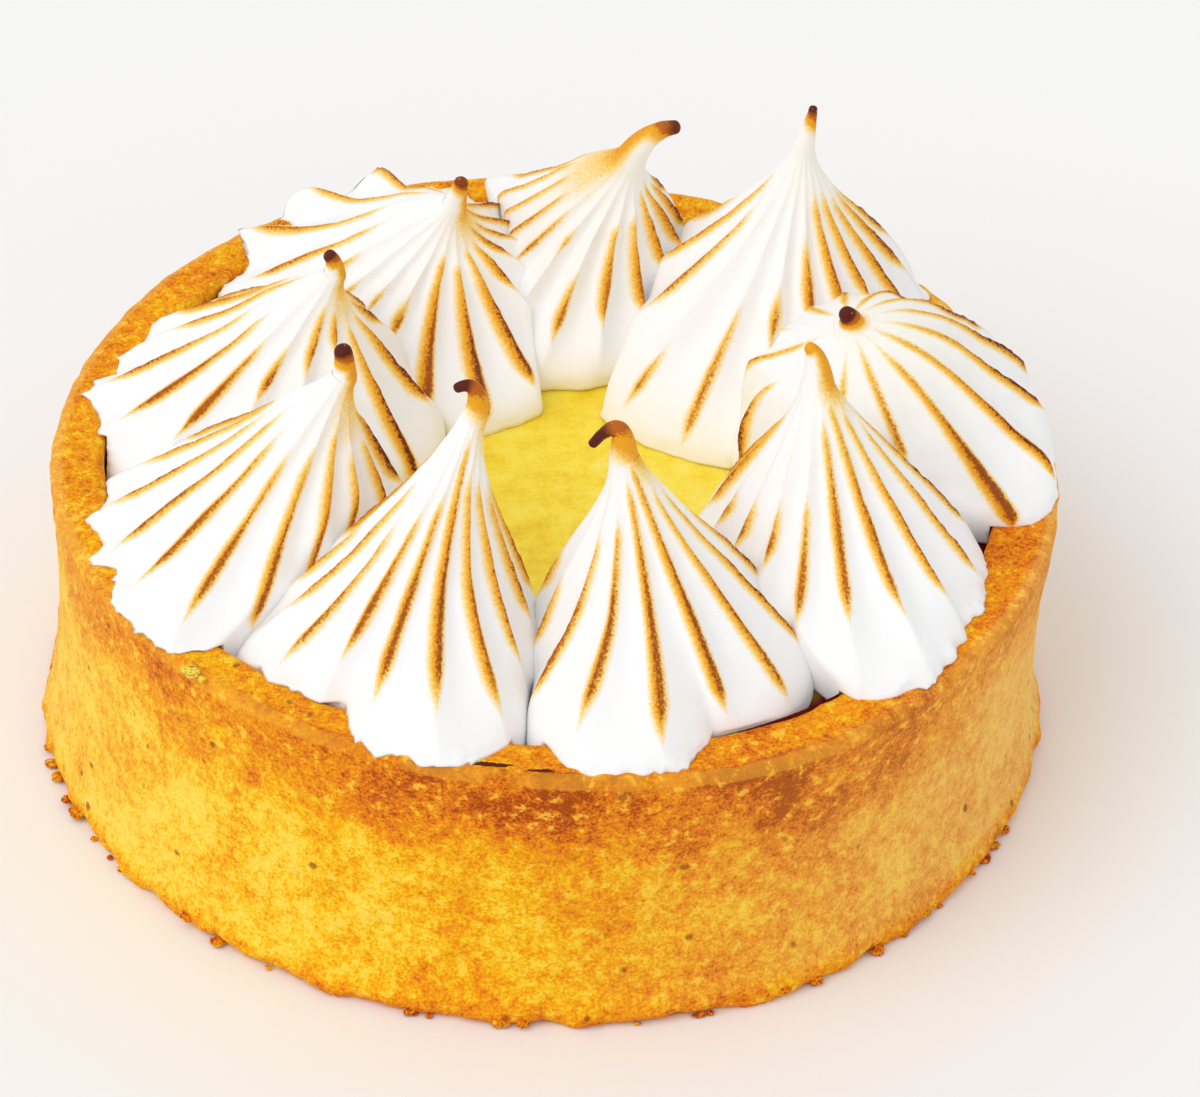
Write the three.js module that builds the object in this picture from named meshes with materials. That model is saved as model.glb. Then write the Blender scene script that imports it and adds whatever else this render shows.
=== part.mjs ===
// A small lemon meringue tart: a short-crust case, a lemon curd filling and a ring of piped meringue kisses.
// Millimetres, +Z up. The origin is the centre of the flat base, and the front of the tart faces -Y.
import * as THREE from "three";

const GAP = 0.3; // clearance between touching pieces

// Pastry case
const CASE_COLUMNS = 72;
const RIM_HEIGHT = 24.9; // mean height of the rim
const RIM_TILT = 1.1; // the left side stands this much above the mean, and the right side below it
const RIM_WAVES = [[3, 0.22, 40], [5, 0.16, 130], [8, 0.1, 300]]; // waves round the case, size, phase
const RIM_RADIUS = 40.1; // outer radius just under the rim
const WAIST_DEPTH = 0.8; // how far the wall bows in at half height
const FOOT_FLARE = 1.0; // how far the foot stands out
const FOOT_HEIGHT = 5;
const WALL_WAVES = [[2, 0.35, 25], [3, 0.25, 200], [7, 0.12, 80]];
const TOP_SHIFT = 0.4; // the top circle sits this far to the right, and the foot as far to the left
const INNER_RADIUS = 35.6; // inside of the wall at the rim
const INNER_THICKER = 0.5; // the wall is thicker on the right by this much, and thinner on the left
const FLOOR_RADIUS = 33.6;
const FLOOR_HEIGHT = 4;
const FLOOR_FILLET = 1.2;
const WALL_FOOT = 20.2; // the inside of the wall is upright above this height and draws in below it

// Lemon curd
const CURD_COLUMNS = 48;
const CURD_HEIGHT = 22.2;
const CURD_DIP = 0.25; // how far the surface sinks in places
const CURD_GAP = 0.4;

// Meringue kisses. Each one rises from its base centre, leans in to a neck and ends in a tip, which may curl.
const NECK_AT = 0.8; // share of a kiss's rows below the neck
const COLUMNS_PER_RIDGE = 3;
const RIDGE_DEPTH = 0.15; // valley depth as a share of the radius
const SKIRT = 0.2; // how far the crests are drawn out where they overhang the rim
const SQUEEZE_BLEND = 1.0; // how softly two neighbours press against each other
const OVERHANG_RADIUS = 38.2; // beyond this the overhang over the rim is held back
const OVERHANG_GIVE = 2;
const RIM_CLEARANCE = 0.35;
const OVERHANG_LIFT = 0.35;
const WIDEST_AT = 0.15;
const FILL_FADE = [0.1, 0.42]; // shares of the length over which the fill of the outer corners fades out
const SPREAD_FADE = [0, 0.55]; // and over which the spread of the foot towards the middle fades out
const RIDGES_GROW = [0.05, 0.3]; // and over which the ridges grow to full depth
const RIDGES_FADE = [0.5, 0.85]; // and over which they fade out again
const SQUEEZE_FADE = [0.62, 0.8]; // and over which neighbours stop pressing against each other
const TURN_OVER = [0.5, 0.85]; // and over which the sections turn from level to square with the middle line
const LOBES_FADE = 15; // degrees over which curled ridges fade in and out
const LOBES_REACH = [32, 38]; // distances from the tart's middle over which they curl up
const CLEAR_ROOM = 30; // room that a section has at its sides once the squeeze has faded
const BODY_ROWS = [0.12, 0.24, 0.37, 0.5, 0.62, 0.72, 0.8];
const TIP_ROWS = [0.86, 0.92, 0.97, 1];
const SPREAD_ROUNDS = 40; // rounds of the search for the angle of a column
const STEP = 0.001; // a short step along a middle line, as a share of its length

// base: centre where it stands. radius: its widest. neck: point and thickness where the cone ends.
// bend and tip: the curl above the neck. taper: below 1 the curl thins early. lean: how late the axis leans
// over. belly and sweep: how full and how hollow the flank is. fill: how much it widens at its two outer
// corners, the clockwise one first, and spread: how much its foot widens inwards, as shares of its radius.
// ridges, crest and crowd: count, angle of one crest, and how unevenly they are spread (share, and the angle
// where they stand closest). lobes: the angles between which the ridges curl up over the rim, and how far.
// Angles are in degrees from +X.
const KISSES = [
  {
    name: "meringue_1",
    base: [-24.2, -11.6], radius: 13.4, belly: 1.8, sweep: 1.45, lean: 1.35,
    neck: [-16.1, -9.75, 40], neckRadius: 1, bend: [-16.05, -9.65, 41.3],
    tip: [-16.2, -9.6, 42.3], tipRadius: 0.68, taper: 0.85,
    fill: [0.15, 0.45], spread: 0.08,
    ridges: 15, crest: 248, crowd: 0, crowdAt: 270,
  },
  {
    name: "meringue_2",
    base: [-24.6, 7.8], radius: 13.4, belly: 1.9, sweep: 1.45, lean: 1.35,
    neck: [-17.5, 7.2, 37.6], neckRadius: 0.9, bend: [-17.4, 7.2, 38.7],
    tip: [-17.9, 7.2, 39.4], tipRadius: 0.5, taper: 0.85,
    fill: [0.08, 0.3], spread: 0.2,
    ridges: 15, crest: 208, crowd: 0, crowdAt: 270,
  },
  {
    name: "meringue_3",
    base: [-14, 24.2], radius: 14.4, belly: 2.1, sweep: 1.4, lean: 1.35,
    neck: [-8.2, 19.65, 35.8], neckRadius: 1, bend: [-7.9, 19.4, 37.2],
    tip: [-7.7, 19.3, 38.3], tipRadius: 0.55, taper: 0.85,
    fill: [0.12, 0.1], spread: 0.37,
    ridges: 17, crest: 264, crowd: 0.35, crowdAt: 295,
    lobes: { from: 75, to: 195, lift: 1.5 },
  },
  {
    name: "meringue_4",
    base: [-0.3, 27.6], radius: 11.8, belly: 1.9, sweep: 1.35, lean: 1.3,
    neck: [6, 23.3, 38], neckRadius: 1.4, bend: [7.3, 23.1, 41.1],
    tip: [9.6, 22.8, 41.6], tipRadius: 0.56, taper: 0.8,
    fill: [0, 0.25], spread: 0.26,
    ridges: 15, crest: 266, crowd: 0.3, crowdAt: 285,
  },
  {
    name: "meringue_5",
    base: [18.6, 20.2], radius: 13.8, belly: 1.7, sweep: 1.65, lean: 1.3,
    neck: [20, 19.9, 42], neckRadius: 0.85, bend: [20.4, 20, 44],
    tip: [20.6, 20, 45.5], tipRadius: 0.3, taper: 0.95,
    fill: [-0.06, 0], spread: 0.33,
    ridges: 15, crest: 262, crowd: 0.3, crowdAt: 280,
  },
  {
    name: "meringue_6",
    base: [28.2, 5.6], radius: 13.2, belly: 3.2, sweep: 0.95, lean: 1.2,
    neck: [23.6, 3.9, 35.8], neckRadius: 1.15, bend: [23.5, 3.8, 36.6],
    tip: [23.1, 3.6, 37], tipRadius: 0.6, taper: 0.85,
    fill: [0.35, 0.12], spread: 0.05,
    ridges: 14, crest: 306, crowd: 0, crowdAt: 180,
  },
  {
    name: "meringue_7",
    base: [22.2, -13.8], radius: 12.2, belly: 1.7, sweep: 1.32, lean: 1.3,
    neck: [20.4, -9.6, 39.6], neckRadius: 1.4, bend: [20.4, -9, 42.2],
    tip: [19.7, -9, 42.8], tipRadius: 0.45, taper: 0.85,
    fill: [0.4, 0.05], spread: 0.05,
    ridges: 14, crest: 276, crowd: 0.25, crowdAt: 235,
  },
  {
    name: "meringue_8",
    base: [8.9, -23.2], radius: 11, belly: 1.8, sweep: 1.6, lean: 1.3,
    neck: [5.4, -20.7, 41], neckRadius: 1.2, bend: [5.5, -20.6, 45.4],
    tip: [3.05, -20.6, 42], tipRadius: 0.35, taper: 0.6,
    fill: [0.75, 0.1], spread: 0,
    ridges: 13, crest: 271, crowd: 0.1, crowdAt: 210,
  },
  {
    name: "meringue_9",
    base: [-11.4, -23], radius: 11.2, belly: 1.65, sweep: 1.9, lean: 1.3,
    neck: [-5.65, -20.4, 45.2], neckRadius: 0.92, bend: [-5.6, -20.4, 47.7],
    tip: [-7.2, -20.4, 46.9], tipRadius: 0.35, taper: 0.7,
    fill: [0.28, 0.7], spread: 0,
    ridges: 15, crest: 257, crowd: 0.1, crowdAt: 250,
  },
];
// How far the seam after a kiss is turned (degrees) and moved (millimetres), both counter-clockwise.
const SEAM_SHIFT = { meringue_4: [-7, 0], meringue_5: [-3, 0], meringue_6: [14, -7.4] };

const CRUST_COLOUR = 0xd9963f;
const CURD_COLOUR = 0xf0cf1a;
const MERINGUE_COLOUR = 0xfbf6ea;

const UP = new THREE.Vector3(0, 0, 1);
const radians = THREE.MathUtils.degToRad;
const clamp01 = (value) => THREE.MathUtils.clamp(value, 0, 1);
const smooth = ([from, to], value) => THREE.MathUtils.smoothstep(value, from, to);

// Sum of a few slow waves round the tart.
function waves(list, angle) {
  let total = 0;
  for (const [count, size, phase] of list) {
    total += size * Math.cos(count * angle + radians(phase));
  }
  return total;
}

const rimHeight = (angle) => RIM_HEIGHT - RIM_TILT * Math.cos(angle) + waves(RIM_WAVES, angle);
const innerRadius = (angle) => INNER_RADIUS - INNER_THICKER * Math.cos(angle) + TOP_SHIFT * Math.cos(angle);

// Outer radius of the case at a share of its height (0 at the foot, 1 at the rim).
function wallRadius(angle, share) {
  const flare = FOOT_FLARE * clamp01(1 - (share * RIM_HEIGHT) / FOOT_HEIGHT) ** 2;
  const bow = WAIST_DEPTH * Math.sin(Math.PI * share);
  const shift = TOP_SHIFT * (2 * share - 1) * Math.cos(angle);
  return RIM_RADIUS + flare - bow + shift + waves(WALL_WAVES, angle) * (1 - 0.5 * share);
}

// A turned solid whose profile is then moved point by point. Each row gives its point for a column: the first
// and last rows are the middles of the underside and the top, and the others run round it from foot to top.
function turned(columns, rows) {
  const profile = rows.map((row) => {
    const point = row(0);
    return new THREE.Vector2(Math.hypot(point.x, point.y), point.z);
  });
  const geometry = new THREE.LatheGeometry(profile, columns);
  const position = geometry.getAttribute("position");
  for (let column = 0; column <= columns; column++) {
    rows.forEach((row, index) => {
      const point = row(column % columns);
      position.setXYZ(column * rows.length + index, point.x, point.y, point.z);
    });
  }
  geometry.computeVertexNormals();
  return geometry;
}

const polar = (radius, angle, z) => new THREE.Vector3(radius * Math.cos(angle), radius * Math.sin(angle), z);
const middlePoint = (z) => () => new THREE.Vector3(0, 0, z);

// A row that is given by its radius and height at each angle round the tart.
function roundRow(columns, radius, height) {
  return (column) => {
    const angle = (2 * Math.PI * column) / columns;
    return polar(radius(angle), angle, height(angle));
  };
}

// The case: up the outside, over the rounded rim, down the inside and across the floor.
function crustGeometry() {
  const row = (radius, height) => roundRow(CASE_COLUMNS, radius, height);
  const outside = (share, inset, drop) =>
    row(
      (angle) => wallRadius(angle, share) - inset,
      (angle) => share * rimHeight(angle) - drop,
    );
  const inside = (outset, drop) =>
    row(
      (angle) => innerRadius(angle) + outset,
      (angle) => rimHeight(angle) - drop,
    );
  return turned(CASE_COLUMNS, [
    middlePoint(0),
    outside(0, 1.5, 0),
    outside(0.03, 0.3, 0),
    outside(0.09, 0, 0),
    outside(0.24, 0, 0),
    outside(0.48, 0, 0),
    outside(0.74, 0, 0),
    outside(1, 0, 1.5),
    outside(1, 0.35, 0.4),
    outside(1, 1.3, 0),
    inside(1, 0.05),
    inside(0.2, 0.7),
    row(innerRadius, () => WALL_FOOT),
    row(
      () => FLOOR_RADIUS + FLOOR_FILLET,
      () => FLOOR_HEIGHT + FLOOR_FILLET,
    ),
    row(
      () => FLOOR_RADIUS,
      () => FLOOR_HEIGHT,
    ),
    middlePoint(FLOOR_HEIGHT),
  ]);
}

// The curd fills the case to just under the rim, with a gently uneven surface.
function curdGeometry() {
  const row = (radius, height) => roundRow(CURD_COLUMNS, radius, height);
  const dip = (x, y) => 0.5 + 0.25 * Math.sin(0.35 * x + 1) + 0.25 * Math.cos(0.3 * y);
  const level = (x, y) => CURD_HEIGHT - CURD_DIP * dip(x, y);
  const edge = (angle) => innerRadius(angle) - CURD_GAP;
  const top = (share) => (column) => {
    const point = row((angle) => share * edge(angle), () => 0)(column);
    point.z = level(point.x, point.y);
    return point;
  };
  const foot = FLOOR_HEIGHT + CURD_GAP;
  return turned(CURD_COLUMNS, [
    middlePoint(foot),
    row(
      () => FLOOR_RADIUS - CURD_GAP,
      () => foot,
    ),
    row(
      () => FLOOR_RADIUS + FLOOR_FILLET - CURD_GAP,
      () => foot + FLOOR_FILLET,
    ),
    row(edge, () => WALL_FOOT),
    top(1),
    top(0.6),
    top(0.3),
    middlePoint(level(0, 0)),
  ]);
}

// Where the middle line of a kiss is at a share of its length: a leaning stem up to the neck, then the curl.
function middle(kiss, share) {
  const [neck, bend, tip] = [kiss.neck, kiss.bend, kiss.tip].map((point) => new THREE.Vector3(...point));
  if (share <= NECK_AT) {
    const rise = clamp01(share / NECK_AT);
    const lean = rise ** kiss.lean;
    return new THREE.Vector3(
      THREE.MathUtils.lerp(kiss.base[0], neck.x, lean),
      THREE.MathUtils.lerp(kiss.base[1], neck.y, lean),
      THREE.MathUtils.lerp(CURD_HEIGHT, neck.z, rise),
    );
  }
  return new THREE.QuadraticBezierCurve3(neck, bend, tip).getPoint((share - NECK_AT) / (1 - NECK_AT));
}

// Radius of a kiss at its crests: an onion-shaped body, then a thin tapering tip.
function crestRadius(kiss, share) {
  if (share <= NECK_AT) {
    const body = (1 - clamp01(share / NECK_AT) ** kiss.belly) ** kiss.sweep;
    return THREE.MathUtils.lerp(kiss.neckRadius, kiss.radius, body);
  }
  const curl = ((share - NECK_AT) / (1 - NECK_AT)) ** kiss.taper;
  return THREE.MathUtils.lerp(kiss.neckRadius, kiss.tipRadius, curl);
}

const spread = (kiss, angle) => angle + kiss.crowd * Math.sin(angle - radians(kiss.crowdAt));

// Angle of a column, so that every ridge has the same columns however closely the ridges stand.
function columnAngle(kiss, column) {
  const turn = (2 * Math.PI * column) / (kiss.ridges * COLUMNS_PER_RIDGE);
  const wanted = spread(kiss, radians(kiss.crest)) + turn;
  let angle = wanted;
  for (let round = 0; round < SPREAD_ROUNDS; round++) {
    angle = wanted - kiss.crowd * Math.sin(angle - radians(kiss.crowdAt));
  }
  return angle;
}

// How far a direction is from a crest: 0 on it and 1 in the middle of a valley.
function valley(kiss, angle) {
  const turn = spread(kiss, angle) - spread(kiss, radians(kiss.crest));
  return Math.abs(Math.sin((kiss.ridges * turn) / 2));
}

const placeAngle = (kiss) => Math.atan2(kiss.base[1], kiss.base[0]);

// How much wider than its crest radius a kiss is: low down it fills the corners that it leaves with its
// neighbours at the wall, and its foot spreads over the curd.
function swell(kiss, share, angle) {
  const turn = angle - placeAngle(kiss);
  const outward = Math.cos(turn);
  if (outward < 0) return 1 + kiss.spread * Math.sqrt(-outward) * (1 - smooth(SPREAD_FADE, share));
  const corner = Math.sin(2 * turn) * Math.sqrt(outward);
  const fill = corner < 0 ? kiss.fill[0] : kiss.fill[1];
  return 1 + fill * Math.abs(corner) * (1 - smooth(FILL_FADE, share));
}

// The two upright seams of a kiss with its neighbours, each with its outward normal and its place along it.
function seams(kiss) {
  const order = [...KISSES].sort((a, b) => placeAngle(a) - placeAngle(b));
  const here = order.indexOf(kiss);
  const next = order[(here + 1) % order.length];
  const before = order[(here + order.length - 1) % order.length];
  const gapTo = (a, b) => (placeAngle(b) - placeAngle(a) + 2 * Math.PI) % (2 * Math.PI);
  const [turnAhead, moveAhead] = SEAM_SHIFT[kiss.name] ?? [0, 0];
  const [turnBehind, moveBehind] = SEAM_SHIFT[before.name] ?? [0, 0];
  const ahead = placeAngle(kiss) + gapTo(kiss, next) / 2 + radians(turnAhead);
  const behind = placeAngle(kiss) - gapTo(before, kiss) / 2 + radians(turnBehind);
  return [
    { normal: new THREE.Vector3(-Math.sin(ahead), Math.cos(ahead), 0), place: moveAhead },
    { normal: new THREE.Vector3(Math.sin(behind), -Math.cos(behind), 0), place: -moveBehind },
  ];
}

function softMin(a, b, blend) {
  const mix = clamp01(0.5 + (0.5 * (b - a)) / blend);
  return THREE.MathUtils.lerp(b, a, mix) - blend * mix * (1 - mix);
}

// A point on the skin of a kiss, at a share of its length and an angle round its middle line.
function kissPoint(kiss, share, angle, walls) {
  const centre = middle(kiss, share);
  const along = middle(kiss, Math.min(share + STEP, 1)).sub(middle(kiss, share - STEP)).normalize();
  const square = UP.clone().lerp(along, smooth(TURN_OVER, share)).normalize();
  const turn = new THREE.Quaternion().setFromUnitVectors(UP, square);
  const outward = polar(1, angle, 0).applyQuaternion(turn);
  const depth = RIDGE_DEPTH * smooth(RIDGES_GROW, share) * (1 - smooth(RIDGES_FADE, share));
  let radius = crestRadius(kiss, share) * swell(kiss, share, angle) * (1 - depth * valley(kiss, angle));
  for (const { normal, place } of walls) {
    const facing = outward.dot(normal);
    if (facing > 0 && share < NECK_AT) {
      const room = (place - centre.dot(normal) - GAP / 2) / facing + CLEAR_ROOM * smooth(SQUEEZE_FADE, share);
      radius = softMin(radius, room, SQUEEZE_BLEND);
    }
  }
  return centre.addScaledVector(outward, radius);
}

// Draws a point in towards the tart's middle line when it is past a radius, keeping its height.
function holdInside(point, limit, give) {
  const reach = Math.hypot(point.x, point.y);
  if (reach <= limit) return point;
  const held = give > 0 ? limit + give * (1 - Math.exp(-(reach - limit) / give)) : limit;
  point.x *= held / reach;
  point.y *= held / reach;
  return point;
}

// Lifts the ends of the ridges that curl up over the rim.
function curlUp(kiss, point, angle) {
  if (!kiss.lobes) return point;
  const { from, to, lift } = kiss.lobes;
  const turn = THREE.MathUtils.euclideanModulo(THREE.MathUtils.radToDeg(angle), 360);
  const picked = smooth([from, from + LOBES_FADE], turn) * (1 - smooth([to - LOBES_FADE, to], turn));
  const reach = Math.hypot(point.x, point.y);
  point.z += lift * picked * (1 - valley(kiss, angle) ** 2) * smooth(LOBES_REACH, reach);
  return point;
}

// A kiss stands on the curd inside the wall, and above the rim its crests lie out over the pastry.
function kissGeometry(kiss) {
  const walls = seams(kiss);
  const standing = CURD_HEIGHT + GAP;
  const shareAt = (z) => (NECK_AT * (z - CURD_HEIGHT)) / (kiss.neck[2] - CURD_HEIGHT);
  const surface = (share, column) => kissPoint(kiss, share, columnAngle(kiss, column), walls);
  const leanOut = (point) => holdInside(point, OVERHANG_RADIUS, OVERHANG_GIVE);

  // What the case is like under a column of the kiss.
  const under = (column) => {
    const point = leanOut(surface(WIDEST_AT, column));
    const place = Math.atan2(point.y, point.x);
    return { top: rimHeight(place) + RIM_CLEARANCE, wall: innerRadius(place) - GAP };
  };
  const foot = (column) => {
    const point = surface(0, column);
    point.z = standing;
    return holdInside(point, under(column).wall, 0);
  };
  const atRim = (column) => holdInside(surface(shareAt(under(column).top), column), under(column).wall, 0);
  const skirt = (column) => {
    const angle = columnAngle(kiss, column);
    const point = surface(shareAt(under(column).top + OVERHANG_LIFT), column);
    const past = smooth([INNER_RADIUS, OVERHANG_RADIUS], Math.hypot(point.x, point.y));
    const drawn = 1 + ((1 - valley(kiss, angle)) * past * SKIRT) / OVERHANG_RADIUS;
    return curlUp(kiss, leanOut(point.multiply(new THREE.Vector3(drawn, drawn, 1))), angle);
  };
  const body = (share) => (column) => {
    const lowest = shareAt(under(column).top + OVERHANG_LIFT);
    const point = leanOut(surface(THREE.MathUtils.mapLinear(share, 0, NECK_AT, lowest, NECK_AT), column));
    return curlUp(kiss, point, columnAngle(kiss, column));
  };
  const tip = new THREE.Vector3(...kiss.tip);
  const drift = tip.clone().sub(middle(kiss, 1 - STEP)).setLength(kiss.tipRadius / 2);
  return turned(kiss.ridges * COLUMNS_PER_RIDGE, [
    () => new THREE.Vector3(...kiss.base, standing),
    foot,
    atRim,
    skirt,
    ...BODY_ROWS.map(body),
    ...TIP_ROWS.map((share) => (column) => surface(share, column)),
    () => tip.clone().add(drift),
  ]);
}

const group = new THREE.Group();

function add(name, geometry, colour, roughness, place = [0, 0, 0]) {
  const material = new THREE.MeshStandardMaterial({ color: colour, roughness, metalness: 0 });
  const mesh = new THREE.Mesh(geometry.translate(-place[0], -place[1], -place[2]), material);
  mesh.name = name;
  mesh.position.set(...place);
  group.add(mesh);
}

add("crust", crustGeometry(), CRUST_COLOUR, 0.85);
add("lemon_curd", curdGeometry(), CURD_COLOUR, 0.25);
for (const kiss of KISSES) {
  add(kiss.name, kissGeometry(kiss), MERINGUE_COLOUR, 0.6, [...kiss.base, CURD_HEIGHT + GAP]);
}

export default group;
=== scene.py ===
"""Visual model of a small lemon meringue tart.

Lengths are in millimetres until a mesh is made, and +Z is up. The tart stands on its flat base at the
origin, and its front faces -Y. Angles go counter-clockwise from +X, seen from above.
"""

import itertools
import logging
import math
from dataclasses import dataclass, field
from enum import Enum

import bmesh
import bpy
import numpy as np
from mathutils import Matrix, Vector

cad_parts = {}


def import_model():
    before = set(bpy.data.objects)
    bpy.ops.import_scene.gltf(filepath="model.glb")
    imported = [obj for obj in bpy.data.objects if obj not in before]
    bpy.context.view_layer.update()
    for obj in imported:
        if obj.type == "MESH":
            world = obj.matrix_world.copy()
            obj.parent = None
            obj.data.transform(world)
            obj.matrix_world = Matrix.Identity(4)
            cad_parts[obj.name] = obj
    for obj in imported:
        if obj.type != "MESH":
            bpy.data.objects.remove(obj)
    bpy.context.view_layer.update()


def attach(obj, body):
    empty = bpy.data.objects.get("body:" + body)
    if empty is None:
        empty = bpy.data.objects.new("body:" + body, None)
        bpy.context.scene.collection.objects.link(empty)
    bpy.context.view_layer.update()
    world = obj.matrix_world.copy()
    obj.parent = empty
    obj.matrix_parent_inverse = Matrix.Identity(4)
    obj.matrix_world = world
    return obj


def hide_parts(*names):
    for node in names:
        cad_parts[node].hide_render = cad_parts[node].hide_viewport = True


LOG = logging.getLogger("lemon_meringue_tart")
METRE = 0.001  # metres in a millimetre
BODY = "root"
TURN = 2.0 * math.pi


class Slot(Enum):
    """Material slots of the record."""

    PASTRY = "pastry"
    CURD = "curd"
    MERINGUE = "meringue"


class Ramp(Enum):
    """How a mask grows between its two limits."""

    EVEN = "LINEAR"
    SOFT = "SMOOTHSTEP"


def smooth(low: float, high: float, value: np.ndarray) -> np.ndarray:
    """Soft step from 0 at low to 1 at high."""
    share = np.clip((value - low) / (high - low), 0.0, 1.0)
    return share * share * (3.0 - 2.0 * share)


def mix(first: np.ndarray, second: np.ndarray, share: np.ndarray) -> np.ndarray:
    """Straight blend from first to second."""
    return first + (second - first) * share


def facing(angle: np.ndarray, towards: float) -> np.ndarray:
    """Cosine of the difference between angles in radians and a direction in degrees."""
    return np.cos(angle - math.radians(towards))


def ring(radius: np.ndarray, angle: np.ndarray, height: np.ndarray) -> np.ndarray:
    """Points round the Z axis.

    Args:
        radius: distance from the axis.
        angle: angle in radians.
        height: height above the base.

    Returns:
        An array of points, with x, y and z along its last axis.
    """
    radius, angle, height = np.broadcast_arrays(radius, angle, height)
    return np.stack([radius * np.cos(angle), radius * np.sin(angle), height], axis=-1)


@dataclass(frozen=True)
class Grain:
    """Random relief whose lumps have one size."""

    size: float
    seed: int

    def _random(self, cells: np.ndarray, salt: int = 0) -> np.ndarray:
        """A number from 0 to 1 for each cell of whole numbers.

        Args:
            cells: whole numbers, three for each cell.
            salt: a number that tells draws for the same cell apart.

        Returns:
            An array with a number for each cell.
        """
        mixed = cells[..., 0] * 73856093 ^ cells[..., 1] * 19349663 ^ cells[..., 2] * 83492791
        mixed = (mixed ^ (self.seed * 40503 + salt * 97)) & 0x7FFFFFFF
        mixed = ((mixed ^ (mixed >> 13)) * 1274126177) & 0x7FFFFFFF
        mixed = ((mixed ^ (mixed >> 15)) * 668265263) & 0x7FFFFFFF
        return ((mixed ^ (mixed >> 11)) & 0xFFFFFF) / 0xFFFFFF

    def lumps(self, points: np.ndarray) -> np.ndarray:
        """Smooth lumps.

        Args:
            points: points in millimetres.

        Returns:
            A value from -1 to 1 at each point.
        """
        scaled = points / self.size
        low = np.floor(scaled).astype(np.int64)
        part = scaled - low
        part = part * part * (3.0 - 2.0 * part)
        total = np.zeros(points.shape[:-1])
        for corner in itertools.product((0, 1), repeat=3):
            weight = np.prod(np.where(np.array(corner) == 1, part, 1.0 - part), axis=-1)
            total += weight * self._random(low + np.array(corner))
        return 2.0 * total - 1.0

    def rough(self, points: np.ndarray, layers: int = 3) -> np.ndarray:
        """Lumps with smaller lumps on them.

        Args:
            points: points in millimetres.
            layers: how many sizes of lumps there are.

        Returns:
            A value from about -1 to 1 at each point.
        """
        total = np.zeros(points.shape[:-1])
        for layer in range(layers):
            finer = Grain(self.size / 2**layer, self.seed + layer)
            total += finer.lumps(points) / 2**layer
        return total / 1.5

    def spots(self, points: np.ndarray, share: float = 1.0) -> np.ndarray:
        """Round spots scattered at random.

        Args:
            points: points in millimetres.
            share: share of the cells that hold a spot.

        Returns:
            1 in the middle of a spot, falling to 0 at half a cell from it.
        """
        scaled = points / self.size
        low = np.floor(scaled).astype(np.int64)
        nearest = np.full(points.shape[:-1], 1.0)
        for corner in itertools.product((-1, 0, 1), repeat=3):
            cell = low + np.array(corner)
            place = cell + np.stack([self._random(cell, salt) for salt in (1, 2, 3)], axis=-1)
            away = np.linalg.norm(scaled - place, axis=-1)
            away = np.where(self._random(cell, 4) < share, away, 1.0)
            nearest = np.minimum(nearest, away)
        return np.clip(1.0 - 2.0 * nearest, 0.0, 1.0)


@dataclass
class Skin:
    """A closed surface of rings of points, with one point that closes it at each end.

    Attributes:
        rings: points of the rings, from the underside to the top.
        first: the point that closes the first ring.
        last: the point that closes the last ring.
        marks: named values on the rings, which the materials read.
    """

    rings: np.ndarray
    first: np.ndarray
    last: np.ndarray
    marks: dict[str, np.ndarray] = field(default_factory=dict)

    def normals(self) -> np.ndarray:
        """Outward direction at each point of the rings.

        Returns:
            An array of directions of length 1, row by row.
        """
        along = np.gradient(self.rings, axis=0)
        across = np.roll(self.rings, -1, axis=1) - np.roll(self.rings, 1, axis=1)
        out = np.cross(across, along)
        return out / np.maximum(np.linalg.norm(out, axis=-1, keepdims=True), 1e-9)

    def push(self, amount: np.ndarray) -> None:
        """Moves each point outwards by an amount in millimetres."""
        self.rings = self.rings + self.normals() * amount[..., None]

    def build(self, name: str) -> bpy.types.Object:
        """Makes the surface a mesh object.

        Args:
            name: name of the piece.

        Returns:
            The new object, with the marks as attributes of its points.
        """
        count, columns = self.rings.shape[:2]
        points = np.concatenate([self.rings.reshape(-1, 3), [self.first], [self.last]]) * METRE
        start = np.arange(count - 1)[:, None] * columns
        here = np.arange(columns)[None, :]
        after = (here + 1) % columns
        quads = np.stack([start + here, start + after, start + columns + after, start + columns + here], -1)
        below, above = count * columns, count * columns + 1
        top = (count - 1) * columns
        ends = [(below, (column + 1) % columns, column) for column in range(columns)]
        ends += [(above, top + column, top + (column + 1) % columns) for column in range(columns)]
        mesh = bpy.data.meshes.new(name)
        mesh.from_pydata(points.tolist(), [], quads.reshape(-1, 4).tolist() + ends)
        mesh.polygons.foreach_set("use_smooth", [True] * len(mesh.polygons))
        for mark, values in self.marks.items():
            flat = np.broadcast_to(values, (count, columns)).reshape(-1)
            layer = mesh.attributes.new(mark, "FLOAT", "POINT")
            layer.data.foreach_set("value", np.concatenate([flat, flat[:1], flat[-1:]]).astype(np.float32))
        piece = bpy.data.objects.new(name, mesh)
        bpy.context.scene.collection.objects.link(piece)
        return piece


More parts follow.
